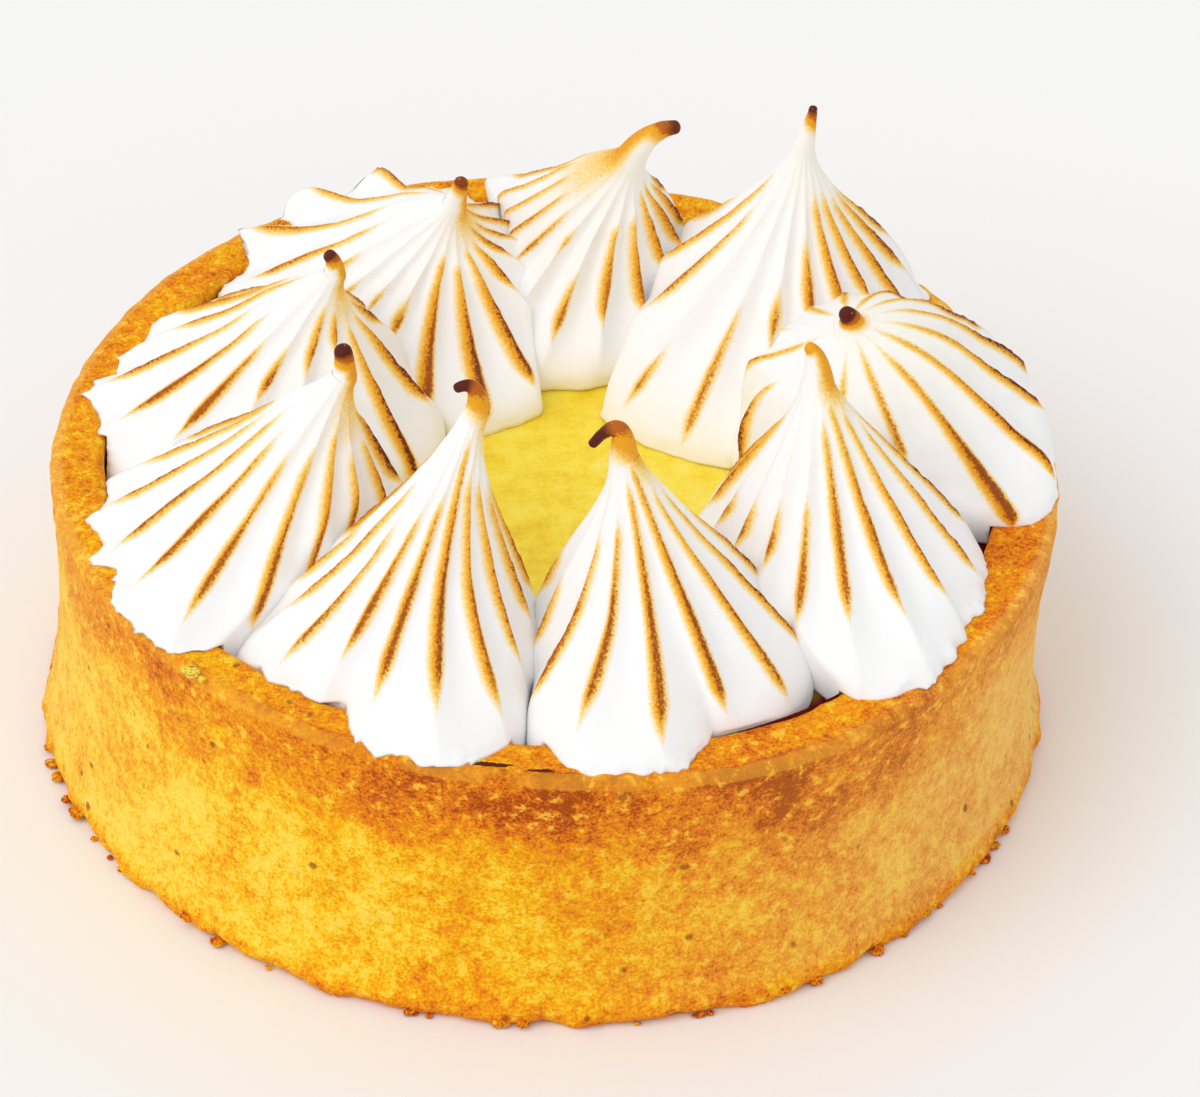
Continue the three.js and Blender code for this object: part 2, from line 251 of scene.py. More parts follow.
@dataclass(frozen=True)
class Case:
    """Shape of the pastry case, without its relief."""

    rim_height: float = 24.9
    rim_tilt: float = 1.1
    rim_waves: tuple = ((3, 0.22, 40.0), (5, 0.16, 130.0), (8, 0.1, 300.0))
    rim_radius: float = 40.1
    waist_depth: float = 0.8
    foot_flare: float = 1.0
    foot_height: float = 5.0
    wall_waves: tuple = ((2, 0.35, 25.0), (3, 0.25, 200.0), (7, 0.12, 80.0))
    top_shift: float = 0.4
    inner_radius: float = 35.6
    inner_thicker: float = 0.5
    floor_radius: float = 33.6
    floor_height: float = 4.0
    floor_fillet: float = 1.2
    wall_foot: float = 20.2

    @staticmethod
    def waves(parts: tuple, angle: np.ndarray) -> np.ndarray:
        """Sum of a few slow waves round the tart."""
        return sum(size * np.cos(count * angle + math.radians(phase)) for count, size, phase in parts)

    def rim(self, angle: np.ndarray) -> np.ndarray:
        """Height of the rim."""
        return self.rim_height - self.rim_tilt * np.cos(angle) + self.waves(self.rim_waves, angle)

    def inside(self, angle: np.ndarray) -> np.ndarray:
        """Radius of the inside of the wall."""
        return self.inner_radius + (self.top_shift - self.inner_thicker) * np.cos(angle)

    def wall(self, angle: np.ndarray, share: np.ndarray) -> np.ndarray:
        """Outer radius of the wall.

        Args:
            angle: angle in radians.
            share: share of the height, 0 at the foot and 1 at the rim.

        Returns:
            The radius in millimetres.
        """
        flare = self.foot_flare * np.clip(1.0 - share * self.rim_height / self.foot_height, 0.0, 1.0) ** 2
        bow = self.waist_depth * np.sin(math.pi * share)
        shift = self.top_shift * (2.0 * share - 1.0) * np.cos(angle)
        waves = self.waves(self.wall_waves, angle) * (1.0 - 0.5 * share)
        return self.rim_radius + flare - bow + shift + waves


CASE = Case()
CURD_HEIGHT = 22.2


class Painter:
    """Adds and joins the nodes of one tree."""

    def __init__(self, tree: bpy.types.NodeTree) -> None:
        """Takes the tree to work on."""
        self.tree = tree

    def add(self, kind: str, **settings: object) -> bpy.types.Node:
        """Adds a node.

        Args:
            kind: the node's type.
            settings: its properties and their values.

        Returns:
            The new node.
        """
        node = self.tree.nodes.new(kind)
        for name, value in settings.items():
            setattr(node, name, value)
        return node

    def feed(self, socket: bpy.types.NodeSocket, value: object) -> None:
        """Joins a socket to another, or sets it to a plain value.

        Args:
            socket: the socket that takes the value.
            value: another socket, or a plain value.
        """
        if isinstance(value, bpy.types.NodeSocket):
            self.tree.links.new(value, socket)
        else:
            socket.default_value = value

    def mark(self, name: str) -> bpy.types.NodeSocket:
        """The value of a mark on the mesh."""
        return self.add("ShaderNodeAttribute", attribute_name=name).outputs["Fac"]

    def sum(self, first: object, second: object, third: object = 0.0) -> bpy.types.NodeSocket:
        """first times second, plus third.

        Args:
            first: a socket or a number.
            second: what it is multiplied by.
            third: what is added.

        Returns:
            The result's socket.
        """
        node = self.add("ShaderNodeMath", operation="MULTIPLY_ADD")
        for socket, value in zip(node.inputs, (first, second, third)):
            self.feed(socket, value)
        return node.outputs[0]

    def math(self, operation: str, first: object, second: object) -> bpy.types.NodeSocket:
        """Works out a sum with two values.

        Args:
            operation: the Math node's operation.
            first: a socket or a number.
            second: a socket or a number.

        Returns:
            The result's socket.
        """
        node = self.add("ShaderNodeMath", operation=operation)
        self.feed(node.inputs[0], first)
        self.feed(node.inputs[1], second)
        return node.outputs[0]

    def mask(self, value: object, low: float, high: float, top: object = 1.0,
             ramp: Ramp = Ramp.SOFT) -> bpy.types.NodeSocket:
        """A mask that is 0 where a value is at low and top where it is at high.

        Args:
            value: what the mask is made from.
            low: where the mask is 0.
            high: where the mask is full.
            top: how strong a full mask is.
            ramp: how it grows between the two.

        Returns:
            The mask's socket.
        """
        node = self.add("ShaderNodeMapRange", interpolation_type=ramp.value, clamp=True)
        self.feed(node.inputs["Value"], value)
        node.inputs["From Min"].default_value = low
        node.inputs["From Max"].default_value = high
        if isinstance(top, bpy.types.NodeSocket):
            return self.math("MULTIPLY", node.outputs["Result"], top)
        node.inputs["To Max"].default_value = top
        return node.outputs["Result"]

    def blend(self, share: object, first: object, second: object) -> bpy.types.NodeSocket:
        """The colour between two colours.

        Args:
            share: 0 for the first colour and 1 for the second.
            first: a colour or its socket.
            second: a colour or its socket.

        Returns:
            The colour's socket.
        """
        node = self.add("ShaderNodeMix", data_type="RGBA")
        self.feed(node.inputs["Factor"], share)
        self.feed(node.inputs[6], first)
        self.feed(node.inputs[7], second)
        return node.outputs[2]

    def ramp(self, value: object, stops: tuple) -> bpy.types.NodeSocket:
        """A colour from a row of colours.

        Args:
            value: the place in the row, from 0 to 1.
            stops: places, each with its colour.

        Returns:
            The colour's socket.
        """
        node = self.add("ShaderNodeValToRGB")
        self.feed(node.inputs["Fac"], value)
        bands = node.color_ramp.elements
        while len(bands) < len(stops):
            bands.new(1.0)
        for band, (place, tint) in zip(bands, stops):
            band.position = place
            band.color = tint
        return node.outputs["Color"]

    def bump(self, shader: bpy.types.Node, height: object, strength: float, depth: float) -> None:
        """Gives a shader fine relief.

        Args:
            shader: the Principled shader.
            height: the relief's height, about 1 from low to high.
            strength: how strongly it shows.
            depth: its depth in millimetres.
        """
        node = self.add("ShaderNodeBump")
        node.inputs["Strength"].default_value = strength
        node.inputs["Distance"].default_value = depth * METRE
        self.feed(node.inputs["Height"], height)
        self.feed(shader.inputs["Normal"], node.outputs["Normal"])


def tint(code: str) -> tuple[float, float, float, float]:
    """Linear colour of a hexadecimal screen colour.

    Args:
        code: the colour's six digits.

    Returns:
        Red, green, blue and 1.
    """
    parts = [int(code[place:place + 2], 16) / 255.0 for place in (0, 2, 4)]
    linear = [part / 12.92 if part <= 0.04045 else ((part + 0.055) / 1.055) ** 2.4 for part in parts]
    return (*linear, 1.0)


class GrainGroup:
    """Shader group of fine and broad grain and scattered specks, which every finish uses."""

    NAME = "food_grain"

    @classmethod
    def tree(cls) -> bpy.types.NodeTree:
        """The group, built when it is first asked for."""
        return bpy.data.node_groups.get(cls.NAME) or cls._build()

    @classmethod
    def _build(cls) -> bpy.types.NodeTree:
        """Builds the group.

        Returns:
            The new node tree. Size, Speck Size and Speck Reach go in, and Fine, Broad and Specks come out.
        """
        tree = bpy.data.node_groups.new(cls.NAME, "ShaderNodeTree")
        for name, value in (("Size", 0.4), ("Speck Size", 2.0), ("Speck Reach", 0.2)):
            socket = tree.interface.new_socket(name, in_out="INPUT", socket_type="NodeSocketFloat")
            socket.default_value = value
        for name in ("Fine", "Broad", "Specks"):
            tree.interface.new_socket(name, in_out="OUTPUT", socket_type="NodeSocketFloat")
        painter = Painter(tree)
        given = painter.add("NodeGroupInput")
        result = painter.add("NodeGroupOutput")
        place = painter.add("ShaderNodeTexCoord").outputs["Object"]

        def noise(scale: object, detail: float) -> bpy.types.NodeSocket:
            """Even noise of one scale.

            Args:
                scale: cells in a metre.
                detail: how many finer layers it has.

            Returns:
                The noise's socket.
            """
            node = painter.add("ShaderNodeTexNoise")
            painter.feed(node.inputs["Vector"], place)
            painter.feed(node.inputs["Scale"], scale)
            node.inputs["Detail"].default_value = detail
            node.inputs["Roughness"].default_value = 0.6
            return node.outputs["Fac"]

        scale = painter.math("DIVIDE", 1.0 / METRE, given.outputs["Size"])
        fine = noise(scale, 2.0)
        broad = noise(painter.math("MULTIPLY", scale, 0.13), 4.0)
        specks = painter.add("ShaderNodeTexVoronoi")
        painter.feed(specks.inputs["Vector"], place)
        painter.feed(specks.inputs["Scale"], painter.math("DIVIDE", 1.0 / METRE, given.outputs["Speck Size"]))
        ragged = painter.sum(fine, 0.35, specks.outputs["Distance"])
        inside = painter.math("SUBTRACT", painter.math("ADD", given.outputs["Speck Reach"], 0.17), ragged)
        painter.feed(result.inputs["Fine"], fine)
        painter.feed(result.inputs["Broad"], broad)
        painter.feed(result.inputs["Specks"], painter.mask(inside, -0.04, 0.06))
        return tree

    @classmethod
    def place(cls, painter: Painter, size: float, speck: float, reach: float) -> bpy.types.Node:
        """Puts the group in a material.

        Args:
            painter: the material's painter.
            size: size of the fine grain in millimetres.
            speck: mean distance between specks in millimetres.
            reach: radius of a speck as a share of that distance.

        Returns:
            The group's node.
        """
        node = painter.add("ShaderNodeGroup", node_tree=cls.tree())
        node.inputs["Size"].default_value = size
        node.inputs["Speck Size"].default_value = speck
        node.inputs["Speck Reach"].default_value = reach
        return node


def new_material(name: str) -> tuple[bpy.types.Material, Painter, bpy.types.Node]:
    """A material with nodes.

    Args:
        name: the material's name.

    Returns:
        The material, its painter and its Principled shader.
    """
    material = bpy.data.materials.new(name)
    material.use_nodes = True
    return material, Painter(material.node_tree), material.node_tree.nodes["Principled BSDF"]


@dataclass(frozen=True)
class PastryFinish:
    """Baked short crust: sandy gold, browner at the top of the wall, partly as painted shade, and at the
    foot, with a painted highlight on the rim's edge and painted shade inside the case.
    """

    name: str = "baked_short_crust"
    pale: str = "ffe056"
    yellow: str = "fdca1c"
    gold: str = "f6a410"
    orange: str = "e67a17"
    brown: str = "ab4a0e"
    tan: str = "fbd07e"
    umber: str = "f0aa48"
    # Painted highlight along the rim's outer edge.
    painted_edge_highlight: str = "f6b23a"
    # Painted shade on the inside of the case.
    hollow_shade: str = "6f0f08"
    crack: str = "5a2408"
    pit: str = "93380b"
    butter: str = "ffd048"
    roughness: float = 0.8

    def _colour(self, paint: Painter, grain: bpy.types.Node, lumps: bpy.types.Node) -> bpy.types.NodeSocket:
        """Builds the crust's colour.

        Args:
            paint: the material's painter.
            grain: fine grain.
            lumps: crumbs of about a millimetre.

        Returns:
            The colour's socket.
        """
        bake = paint.sum(grain.outputs["Fine"], 1.15, paint.mark("baked"))
        bake = paint.sum(lumps.outputs["Fine"], 1.0, bake)
        bake = paint.sum(lumps.outputs["Broad"], 0.8, bake)
        bake = paint.math("SUBTRACT", bake, 1.475)
        stops = ((0.0, self.pale), (0.22, self.yellow), (0.46, self.gold), (0.74, self.orange),
                 (1.0, self.brown))
        colour = paint.ramp(bake, tuple((place, tint(code)) for place, code in stops))
        sandy = paint.blend(paint.mask(bake, 0.15, 0.95), tint(self.tan), tint(self.umber))
        colour = paint.blend(paint.mark("tanned"), colour, sandy)
        crumbs = paint.mask(lumps.outputs["Fine"], 0.4, 0.32, 0.65)
        colour = paint.blend(crumbs, colour, tint(self.butter))
        colour = paint.blend(paint.math("MULTIPLY", lumps.outputs["Specks"], 0.75), colour, tint(self.pit))
        # Painted highlight: a lighter gold along the rim's outer edge.
        painted_edge_highlight = paint.sum(grain.outputs["Fine"], 0.8, paint.mark("painted_edge_highlight"))
        colour = paint.blend(paint.mask(painted_edge_highlight, 0.9, 1.5, 0.45), colour, tint(self.painted_edge_highlight))
        # Painted shade: the inside of the case is coloured dark red-brown.
        colour = paint.blend(paint.mark("hollow_shade"), colour, tint(self.hollow_shade))
        cracked = paint.sum(grain.outputs["Fine"], 0.25, paint.mark("crack"))
        return paint.blend(paint.mask(cracked, 0.1, 0.2), colour, tint(self.crack))

    def material(self) -> bpy.types.Material:
        """Builds the material.

        Returns:
            The material.
        """
        material, paint, shader = new_material(self.name)
        grain = GrainGroup.place(paint, 0.26, 2.6, 0.1)
        lumps = GrainGroup.place(paint, 0.95, 3.1, 0.1)
        paint.feed(shader.inputs["Base Color"], self._colour(paint, grain, lumps))
        shader.inputs["Roughness"].default_value = self.roughness
        shader.inputs["Specular IOR Level"].default_value = 0.12
        height = paint.sum(lumps.outputs["Fine"], -1.8, grain.outputs["Fine"])
        height = paint.sum(lumps.outputs["Specks"], -0.8, height)
        paint.bump(shader, height, 0.7, 0.16)
        return material


@dataclass(frozen=True)
class CurdFinish:
    """Lemon curd: a satin, softly mottled yellow that has caught at the edge, where painted shade by the wall
    darkens it too.
    """

    name: str = "lemon_curd_gloss"
    deep: str = "eec414"
    clear: str = "fbe03a"
    pale: str = "fdec78"
    # Dark red-brown of the edge: caught curd and painted shade by the wall.
    caught_and_shaded: str = "6e1a08"
    roughness: float = 0.42

    def material(self) -> bpy.types.Material:
        """Builds the material.

        Returns:
            The material.
        """
        material, paint, shader = new_material(self.name)
        grain = GrainGroup.place(paint, 0.35, 3.0, 0.1)
        cloud = GrainGroup.place(paint, 2.2, 9.0, 0.2)
        tone = paint.sum(grain.outputs["Fine"], 0.5, cloud.outputs["Fine"])
        tone = paint.sum(cloud.outputs["Broad"], 0.8, tone)
        tone = paint.mask(tone, 0.45, 1.8, ramp=Ramp.EVEN)
        stops = ((0.2, self.deep), (0.5, self.clear), (0.85, self.pale))
        colour = paint.ramp(tone, tuple((place, tint(code)) for place, code in stops))
        # The edge by the wall: caught curd and painted shade.
        colour = paint.blend(paint.mark("caught_and_shaded"), colour, tint(self.caught_and_shaded))
        paint.feed(shader.inputs["Base Color"], colour)
        shader.inputs["Roughness"].default_value = self.roughness
        shader.inputs["Specular IOR Level"].default_value = 0.3
        paint.bump(shader, cloud.outputs["Fine"], 0.5, 0.12)
        return material


@dataclass(frozen=True)
class MeringueFinish:
    """Toasted meringue: satin white, with golden to dark brown lines on its ridges."""

    name: str = "toasted_meringue"
    white: str = "fbfbfb"
    # Cream tint, at the inward foot a painted reflection of the curd.
    cream_and_bounce: str = "fdf3da"
    straw: str = "fdd66e"
    gold: str = "f0a412"
    brown: str = "bd6208"
    char: str = "571605"
    roughness: float = 0.6

    def material(self) -> bpy.types.Material:
        """Builds the material.

        Returns:
            The material.
        """
        material, paint, shader = new_material(self.name)
        grain = GrainGroup.place(paint, 0.24, 0.42, 0.13)
        ragged = paint.math("SUBTRACT", grain.outputs["Fine"], 0.5)
        toast = paint.sum(ragged, 0.4, paint.mark("toast"))
        core = paint.sum(ragged, 0.7, paint.mark("core"))
        # Cream, which at the inward foot is a painted reflection of the curd.
        colour = paint.blend(paint.mark("creamy_and_bounce"), tint(self.white), tint(self.cream_and_bounce))
        colour = paint.blend(paint.mask(toast, -0.5, 0.0), colour, tint(self.straw))
        colour = paint.blend(paint.mask(toast, -0.16, 0.2), colour, tint(self.gold))
        browned = paint.mask(core, -0.16, 0.16)
        colour = paint.blend(browned, colour, tint(self.brown))
        charred = paint.mask(core, -0.02, 0.2, paint.mark("char"))
        colour = paint.blend(charred, colour, tint(self.char))
        fleck = paint.math("MULTIPLY", grain.outputs["Specks"], browned)
        colour = paint.blend(paint.math("MULTIPLY", fleck, 0.7), colour, tint(self.gold))
        paint.feed(shader.inputs["Base Color"], colour)
        shader.inputs["Roughness"].default_value = self.roughness
        shader.inputs["Specular IOR Level"].default_value = 0.25
        blistered = paint.math("MULTIPLY", grain.outputs["Fine"], paint.mask(toast, -0.3, 0.2))
        paint.bump(shader, blistered, 0.6, 0.12)
        return material


@dataclass(frozen=True)
class FloorFinish:
    """Plain pale floor."""

    name: str = "pale_floor"
    colour: str = "f7f7f7"

    def material(self) -> bpy.types.Material:
        """Builds the material.

        Returns:
            The material.
        """
        material, _, shader = new_material(self.name)
        shader.inputs["Base Color"].default_value = tint(self.colour)
        shader.inputs["Roughness"].default_value = 0.9
        shader.inputs["Specular IOR Level"].default_value = 0.0
        return material


class CrustTexture(Enum):
    """Relief and patches of the crust, each with its size in millimetres and its seed."""

    WAVES = (6.0, 3)
    SAND = (1.7, 8)
    NUBS = (2.3, 21)
    PITS = (3.6, 34)
    CRUMBLED = (2.6, 55)
    CHIPS = (5.0, 61)
    PATCHES = (9.0, 77)
    BLOTCHES = (3.0, 81)
    CRACK_EDGE = (1.5, 91)
    CRACK_DASHES = (2.2, 93)

    @property
    def grain(self) -> Grain:
        """The grain that makes it."""
        return Grain(*self.value)


@dataclass
class PastryCase:
    """The baked case: the wall, the rim, the crumbly foot and the hidden floor.

    Attributes:
        columns: columns round the case.
        wall_rows: rows up the outside of the wall.
        edge_rows: rows round each edge of the rim.
        rim_rows: rows across the flat of the rim.
        edge_radius: radius of the rim's outer edge.
        inner_edge: radius of its inner edge.
        browned_side: direction in which the wall is brownest near the rim, partly with painted shade under
            the rim.
        painted_lit_side: direction of the painted light, towards which the lower wall is painted the
            brightest yellow.
        tanned_side: direction in which it is sandy.
        pale_side: direction in which it is a little sandy.
        browned_rim: direction in which the top of the rim is brownest.
        crack_from: angle where the fine crack in the rim starts.
        crack_to: angle where it ends.
        crack_inset: how far it lies inside the outer edge.
        shape: the plain shape of the case.
    """

    columns: int = 640
    wall_rows: int = 56
    edge_rows: int = 7
    rim_rows: int = 13
    edge_radius: float = 0.75
    inner_edge: float = 0.6
    browned_side: float = 283.0
    # Painted light: the lower wall is painted a lighter yellow towards this side.
    painted_lit_side: float = 218.0
    tanned_side: float = 352.0
    pale_side: float = 168.0
    browned_rim: float = 330.0
    crack_from: float = 259.0
    crack_to: float = 271.0
    crack_inset: float = 1.15
    shape: Case = CASE

    def _angles(self) -> np.ndarray:
        """Angles of the columns."""
        return np.arange(self.columns) * TURN / self.columns

    def _profile(self, angle: np.ndarray) -> tuple[list, list, list]:
        """Rows of the case, from the underside to the floor.

        Args:
            angle: angle of each column.

        Returns:
            Radii, heights and shares of the wall's height, row by row.
        """
        rim = self.shape.rim(angle)
        radii, heights, shares = [], [], []

        def row(radius: np.ndarray, height: np.ndarray, share: float) -> None:
            """Adds a row.

            Args:
                radius: its radius at each column.
                height: its height at each column.
                share: its share of the wall's height.
            """
            radii.append(radius + 0.0 * angle)
            heights.append(height + 0.0 * angle)
            shares.append(share)

        foot = self.shape.wall(angle, 0.0)
        for inset in (24.0, 10.0, 4.0, 2.2):
            row(foot - inset, 0.0, 0.0)
        for share in np.linspace(0.0, 0.09, 7):
            inset = 1.5 * (1.0 - share / 0.09) ** 3
            row(self.shape.wall(angle, share) - inset, share * rim, share)
        for share in np.linspace(0.09, 1.0, self.wall_rows + 1)[1:-1]:
            row(self.shape.wall(angle, share), share * (rim - self.edge_radius), share)
        outer = self.shape.wall(angle, 1.0)
        for corner in np.linspace(0.0, 0.5 * math.pi, self.edge_rows):
            row(outer - self.edge_radius * (1.0 - math.cos(corner)),
                rim - self.edge_radius * (1.0 - math.sin(corner)), 1.0)
        inner = self.shape.inside(angle)
        for share in np.linspace(0.0, 1.0, self.rim_rows + 2)[1:-1]:
            row(mix(outer - self.edge_radius, inner + self.inner_edge, share), rim, 1.0 + share)
        for corner in np.linspace(0.5 * math.pi, 0.0, self.edge_rows - 1):
            row(inner + self.inner_edge * (1.0 - math.cos(corner)),
                rim - self.inner_edge * (1.0 - math.sin(corner)), 2.0)
        for height in np.linspace(CURD_HEIGHT + 1.6, self.shape.wall_foot, 8):
            row(inner, height, 3.0)
        row(self.shape.floor_radius + self.shape.floor_fillet,
            self.shape.floor_height + self.shape.floor_fillet, 3.0)
        row(self.shape.floor_radius, self.shape.floor_height, 3.0)
        return radii, heights, shares

    def _relief(self, points: np.ndarray, share: np.ndarray) -> np.ndarray:
        """How far the crumb stands out or in.

        Args:
            points: points of the case.
            share: share of the wall's height at each.

        Returns:
            A distance in millimetres at each point.
        """
        shown = smooth(-0.02, 0.02, share) * (1.0 - smooth(2.2, 2.8, share))
        relief = 0.16 * CrustTexture.WAVES.grain.rough(points)
        relief = relief + 0.1 * CrustTexture.SAND.grain.rough(points, 2)
        relief += 0.13 * CrustTexture.NUBS.grain.spots(points, 0.5)
        relief -= 0.4 * CrustTexture.PITS.grain.spots(points * (1.0, 1.0, 1.5), 0.3)
        height = points[..., 2]
        foot = 1.0 - smooth(0.6, 2.6, height)
        crumbled = CrustTexture.CRUMBLED.grain.rough(points) * 0.55 + 0.15
        crumbled = crumbled - 0.5 * CrustTexture.CHIPS.grain.spots(points, 0.5)
        on_rim = smooth(1.0, 1.1, share)
        return shown * (relief * (1.0 - 0.3 * on_rim) + foot * crumbled)

    def _marks(self, points: np.ndarray, share: np.ndarray, angle: np.ndarray) -> dict[str, np.ndarray]:
        """Where the crust is browned, sandy or cracked, with a painted highlight on the rim's edge, painted
        light on the lit side and painted shade under the rim and inside the case.

        Args:
            points: points of the case.
            share: share of the wall's height at each.
            angle: angle of each.

        Returns:
            Each mark's values by its name.
        """
        patches = CrustTexture.PATCHES.grain.rough(points)
        small = CrustTexture.BLOTCHES.grain.rough(points)
        height = points[..., 2]
        # How brown it is baked: most under the rim and in front, where the dark band is partly real browning
        # and partly painted shade, and least on the lit side, where the lower wall is painted lighter as
        # painted light.
        browned = np.clip(facing(angle, self.browned_side), 0.0, 1.0) ** 0.8
        painted_lit = np.clip(facing(angle, self.painted_lit_side), 0.0, 1.0) ** 2
        upper = smooth(0.55, 0.95, np.clip(share, 0.0, 1.0) + 0.1 * patches)
        baked = 0.42 + 0.05 * browned + 0.3 * upper * (0.3 + 0.7 * browned) - 0.24 * painted_lit * (1.0 - upper)
        baked += 0.13 * patches + 0.18 * small
        foot = 1.0 - smooth(0.9, 2.8, height + 0.8 * small)
        baked = mix(baked, 0.6 + 0.15 * small, 0.8 * foot)
        top = smooth(1.02, 1.12, share)
        baked = mix(baked, 0.52 + 0.06 * patches + 0.05 * facing(angle, self.browned_rim), top)
        # How sandy it is.
        right = np.clip(facing(angle, self.tanned_side), 0.0, 1.0) ** 2.2
        left = np.clip(facing(angle, self.pale_side), 0.0, 1.0) ** 3
        side = right + 0.5 * left
        tanned = 0.75 * side * (1.0 - foot) * (1.0 - top) * (1.0 - 0.5 * upper * browned)
        # Painted highlight along the outer edge, painted shade inside the case, and the fine crack.
        corner = np.exp(-(((share - 1.0) * 26.0) ** 2)) * smooth(0.99, 1.0, share + 0.01)
        painted_edge_highlight = corner * smooth(-0.5, 0.4, small + 0.3)
        hollow_shade = smooth(1.85, 2.5, share)
        outer = np.hypot(points[..., 0], points[..., 1])
        line = self.shape.wall(angle, 1.0) - self.crack_inset
        line = line + 0.3 * CrustTexture.CRACK_EDGE.grain.lumps(points)
        begun = smooth(self.crack_from, self.crack_from + 1.0, np.degrees(angle))
        between = begun * (1.0 - smooth(self.crack_to - 1.0, self.crack_to, np.degrees(angle)))
        dashes = smooth(-0.25, 0.0, CrustTexture.CRACK_DASHES.grain.lumps(points))
        crack = np.where(share > 1.0, 0.3 * between * dashes - np.abs(outer - line), -1.0)
        return {"baked": baked, "tanned": tanned, "painted_edge_highlight": painted_edge_highlight, "hollow_shade": hollow_shade, "crack": crack}

    def build(self) -> bpy.types.Object:
        """Makes the case and dresses it.

        Returns:
            The new piece.
        """
        angle = self._angles()
        radii, heights, shares = self._profile(angle)
        points = ring(np.array(radii), angle[None, :], np.array(heights))
        share = np.broadcast_to(np.array(shares)[:, None], points.shape[:2])
        skin = Skin(points, np.zeros(3), np.array([0.0, 0.0, self.shape.floor_height]))
        skin.marks = self._marks(points, share, angle[None, :] + 0.0 * share)
        skin.push(self._relief(points, share))
        skin.rings[..., 2] = np.maximum(skin.rings[..., 2], 0.0)
        piece = skin.build("pastry_case")
        piece.data.materials.append(PastryFinish().material())
        return piece


@dataclass(frozen=True)
class Crumb:
    """A loose crumb.

    Attributes:
        place: its middle in millimetres.
        size: its longest length.
        baked: how brown it is, from 0 to 1.
    """

    place: tuple[float, float, float]
    size: float
    baked: float


@dataclass
class Crumbs:
    """Crumbs of pastry: a few loose ones on the rim, and small ones that cling to the foot.

    Attributes:
        placed: the crumbs on the rim.
        scattered: how many there are at the foot.
        foot_from: angle in degrees from which they lie there.
        foot_to: angle to which they do.
        smallest: length of the smallest one there.
        largest: length of the largest one.
        inset: how far inside the foot's outline their middles are.
        proportions: length, width and height of a crumb as shares of its size.
        detail: how often the ball that each is made from is divided.
        texture: size of the lumps on a ball of 1 millimetre, and the seed of the first crumb.
        lumpy: how far the lumps stand out, as a share of the radius.
        seed: seed of their places and sizes.
        shape: the plain shape of the case.
    """

    placed: tuple[Crumb, ...] = (
        Crumb((-27.2, -29.0, 26.1), 1.5, 0.15),
        Crumb((-26.4, -29.7, 25.9), 0.8, 0.2),
        Crumb((-22.7, 29.2, 26.9), 1.3, 0.6),
    )
    scattered: int = 46
    foot_from: float = 190.0
    foot_to: float = 350.0
    smallest: float = 0.5
    largest: float = 1.3
    inset: float = 0.85
    proportions: tuple[float, float, float] = (1.0, 0.85, 0.65)
    detail: int = 2
    texture: tuple[float, int] = (0.45, 700)
    lumpy: float = 0.45
    seed: int = 12
    shape: Case = CASE

    def _all(self) -> list[Crumb]:
        """The placed crumbs and the scattered ones.

        Returns:
            The crumbs, the placed ones first.
        """
        draw = np.random.default_rng(self.seed)
        crumbs = list(self.placed)
        for _ in range(self.scattered):
            angle = math.radians(draw.uniform(self.foot_from, self.foot_to))
            size = mix(self.smallest, self.largest, draw.random() ** 2)
            height = (0.3 + 0.6 * draw.random() ** 2) * size
            reach = float(self.shape.wall(angle, 0.0)) + 0.1 * size - self.inset
            place = (reach * math.cos(angle), reach * math.sin(angle), height)
            crumbs.append(Crumb(place, size, draw.uniform(0.5, 0.75)))
        return crumbs

    def build(self) -> bpy.types.Object:
        """Makes the crumbs one piece and dresses it.

        Returns:
            The new piece.
        """
        ball = bmesh.new()
        bmesh.ops.create_icosphere(ball, subdivisions=self.detail, radius=0.5)
        ball.verts.index_update()
        unit = np.array([vertex.co[:] for vertex in ball.verts])
        sides = [[vertex.index for vertex in face.verts] for face in ball.faces]
        ball.free()
        points, faces, baked = [], [], []
        lump_size, first_seed = self.texture
        for number, crumb in enumerate(self._all()):
            rough = 1.0 + self.lumpy * Grain(lump_size, first_seed + number).rough(unit, 2)
            lump = unit * rough[:, None] * crumb.size * self.proportions
            lump = lump + crumb.place
            lump[:, 2] = np.maximum(lump[:, 2], 0.0)
            faces += [[len(points) + corner for corner in side] for side in sides]
            points += lump.tolist()
            baked += [crumb.baked] * len(lump)
        mesh = bpy.data.meshes.new("loose_crumbs")
        mesh.from_pydata((np.array(points) * METRE).tolist(), [], faces)
        layer = mesh.attributes.new("baked", "FLOAT", "POINT")
        layer.data.foreach_set("value", baked)
        mesh.materials.append(PastryFinish(name="loose_crumb").material())
        piece = bpy.data.objects.new("loose_crumbs", mesh)
        bpy.context.scene.collection.objects.link(piece)
        return piece


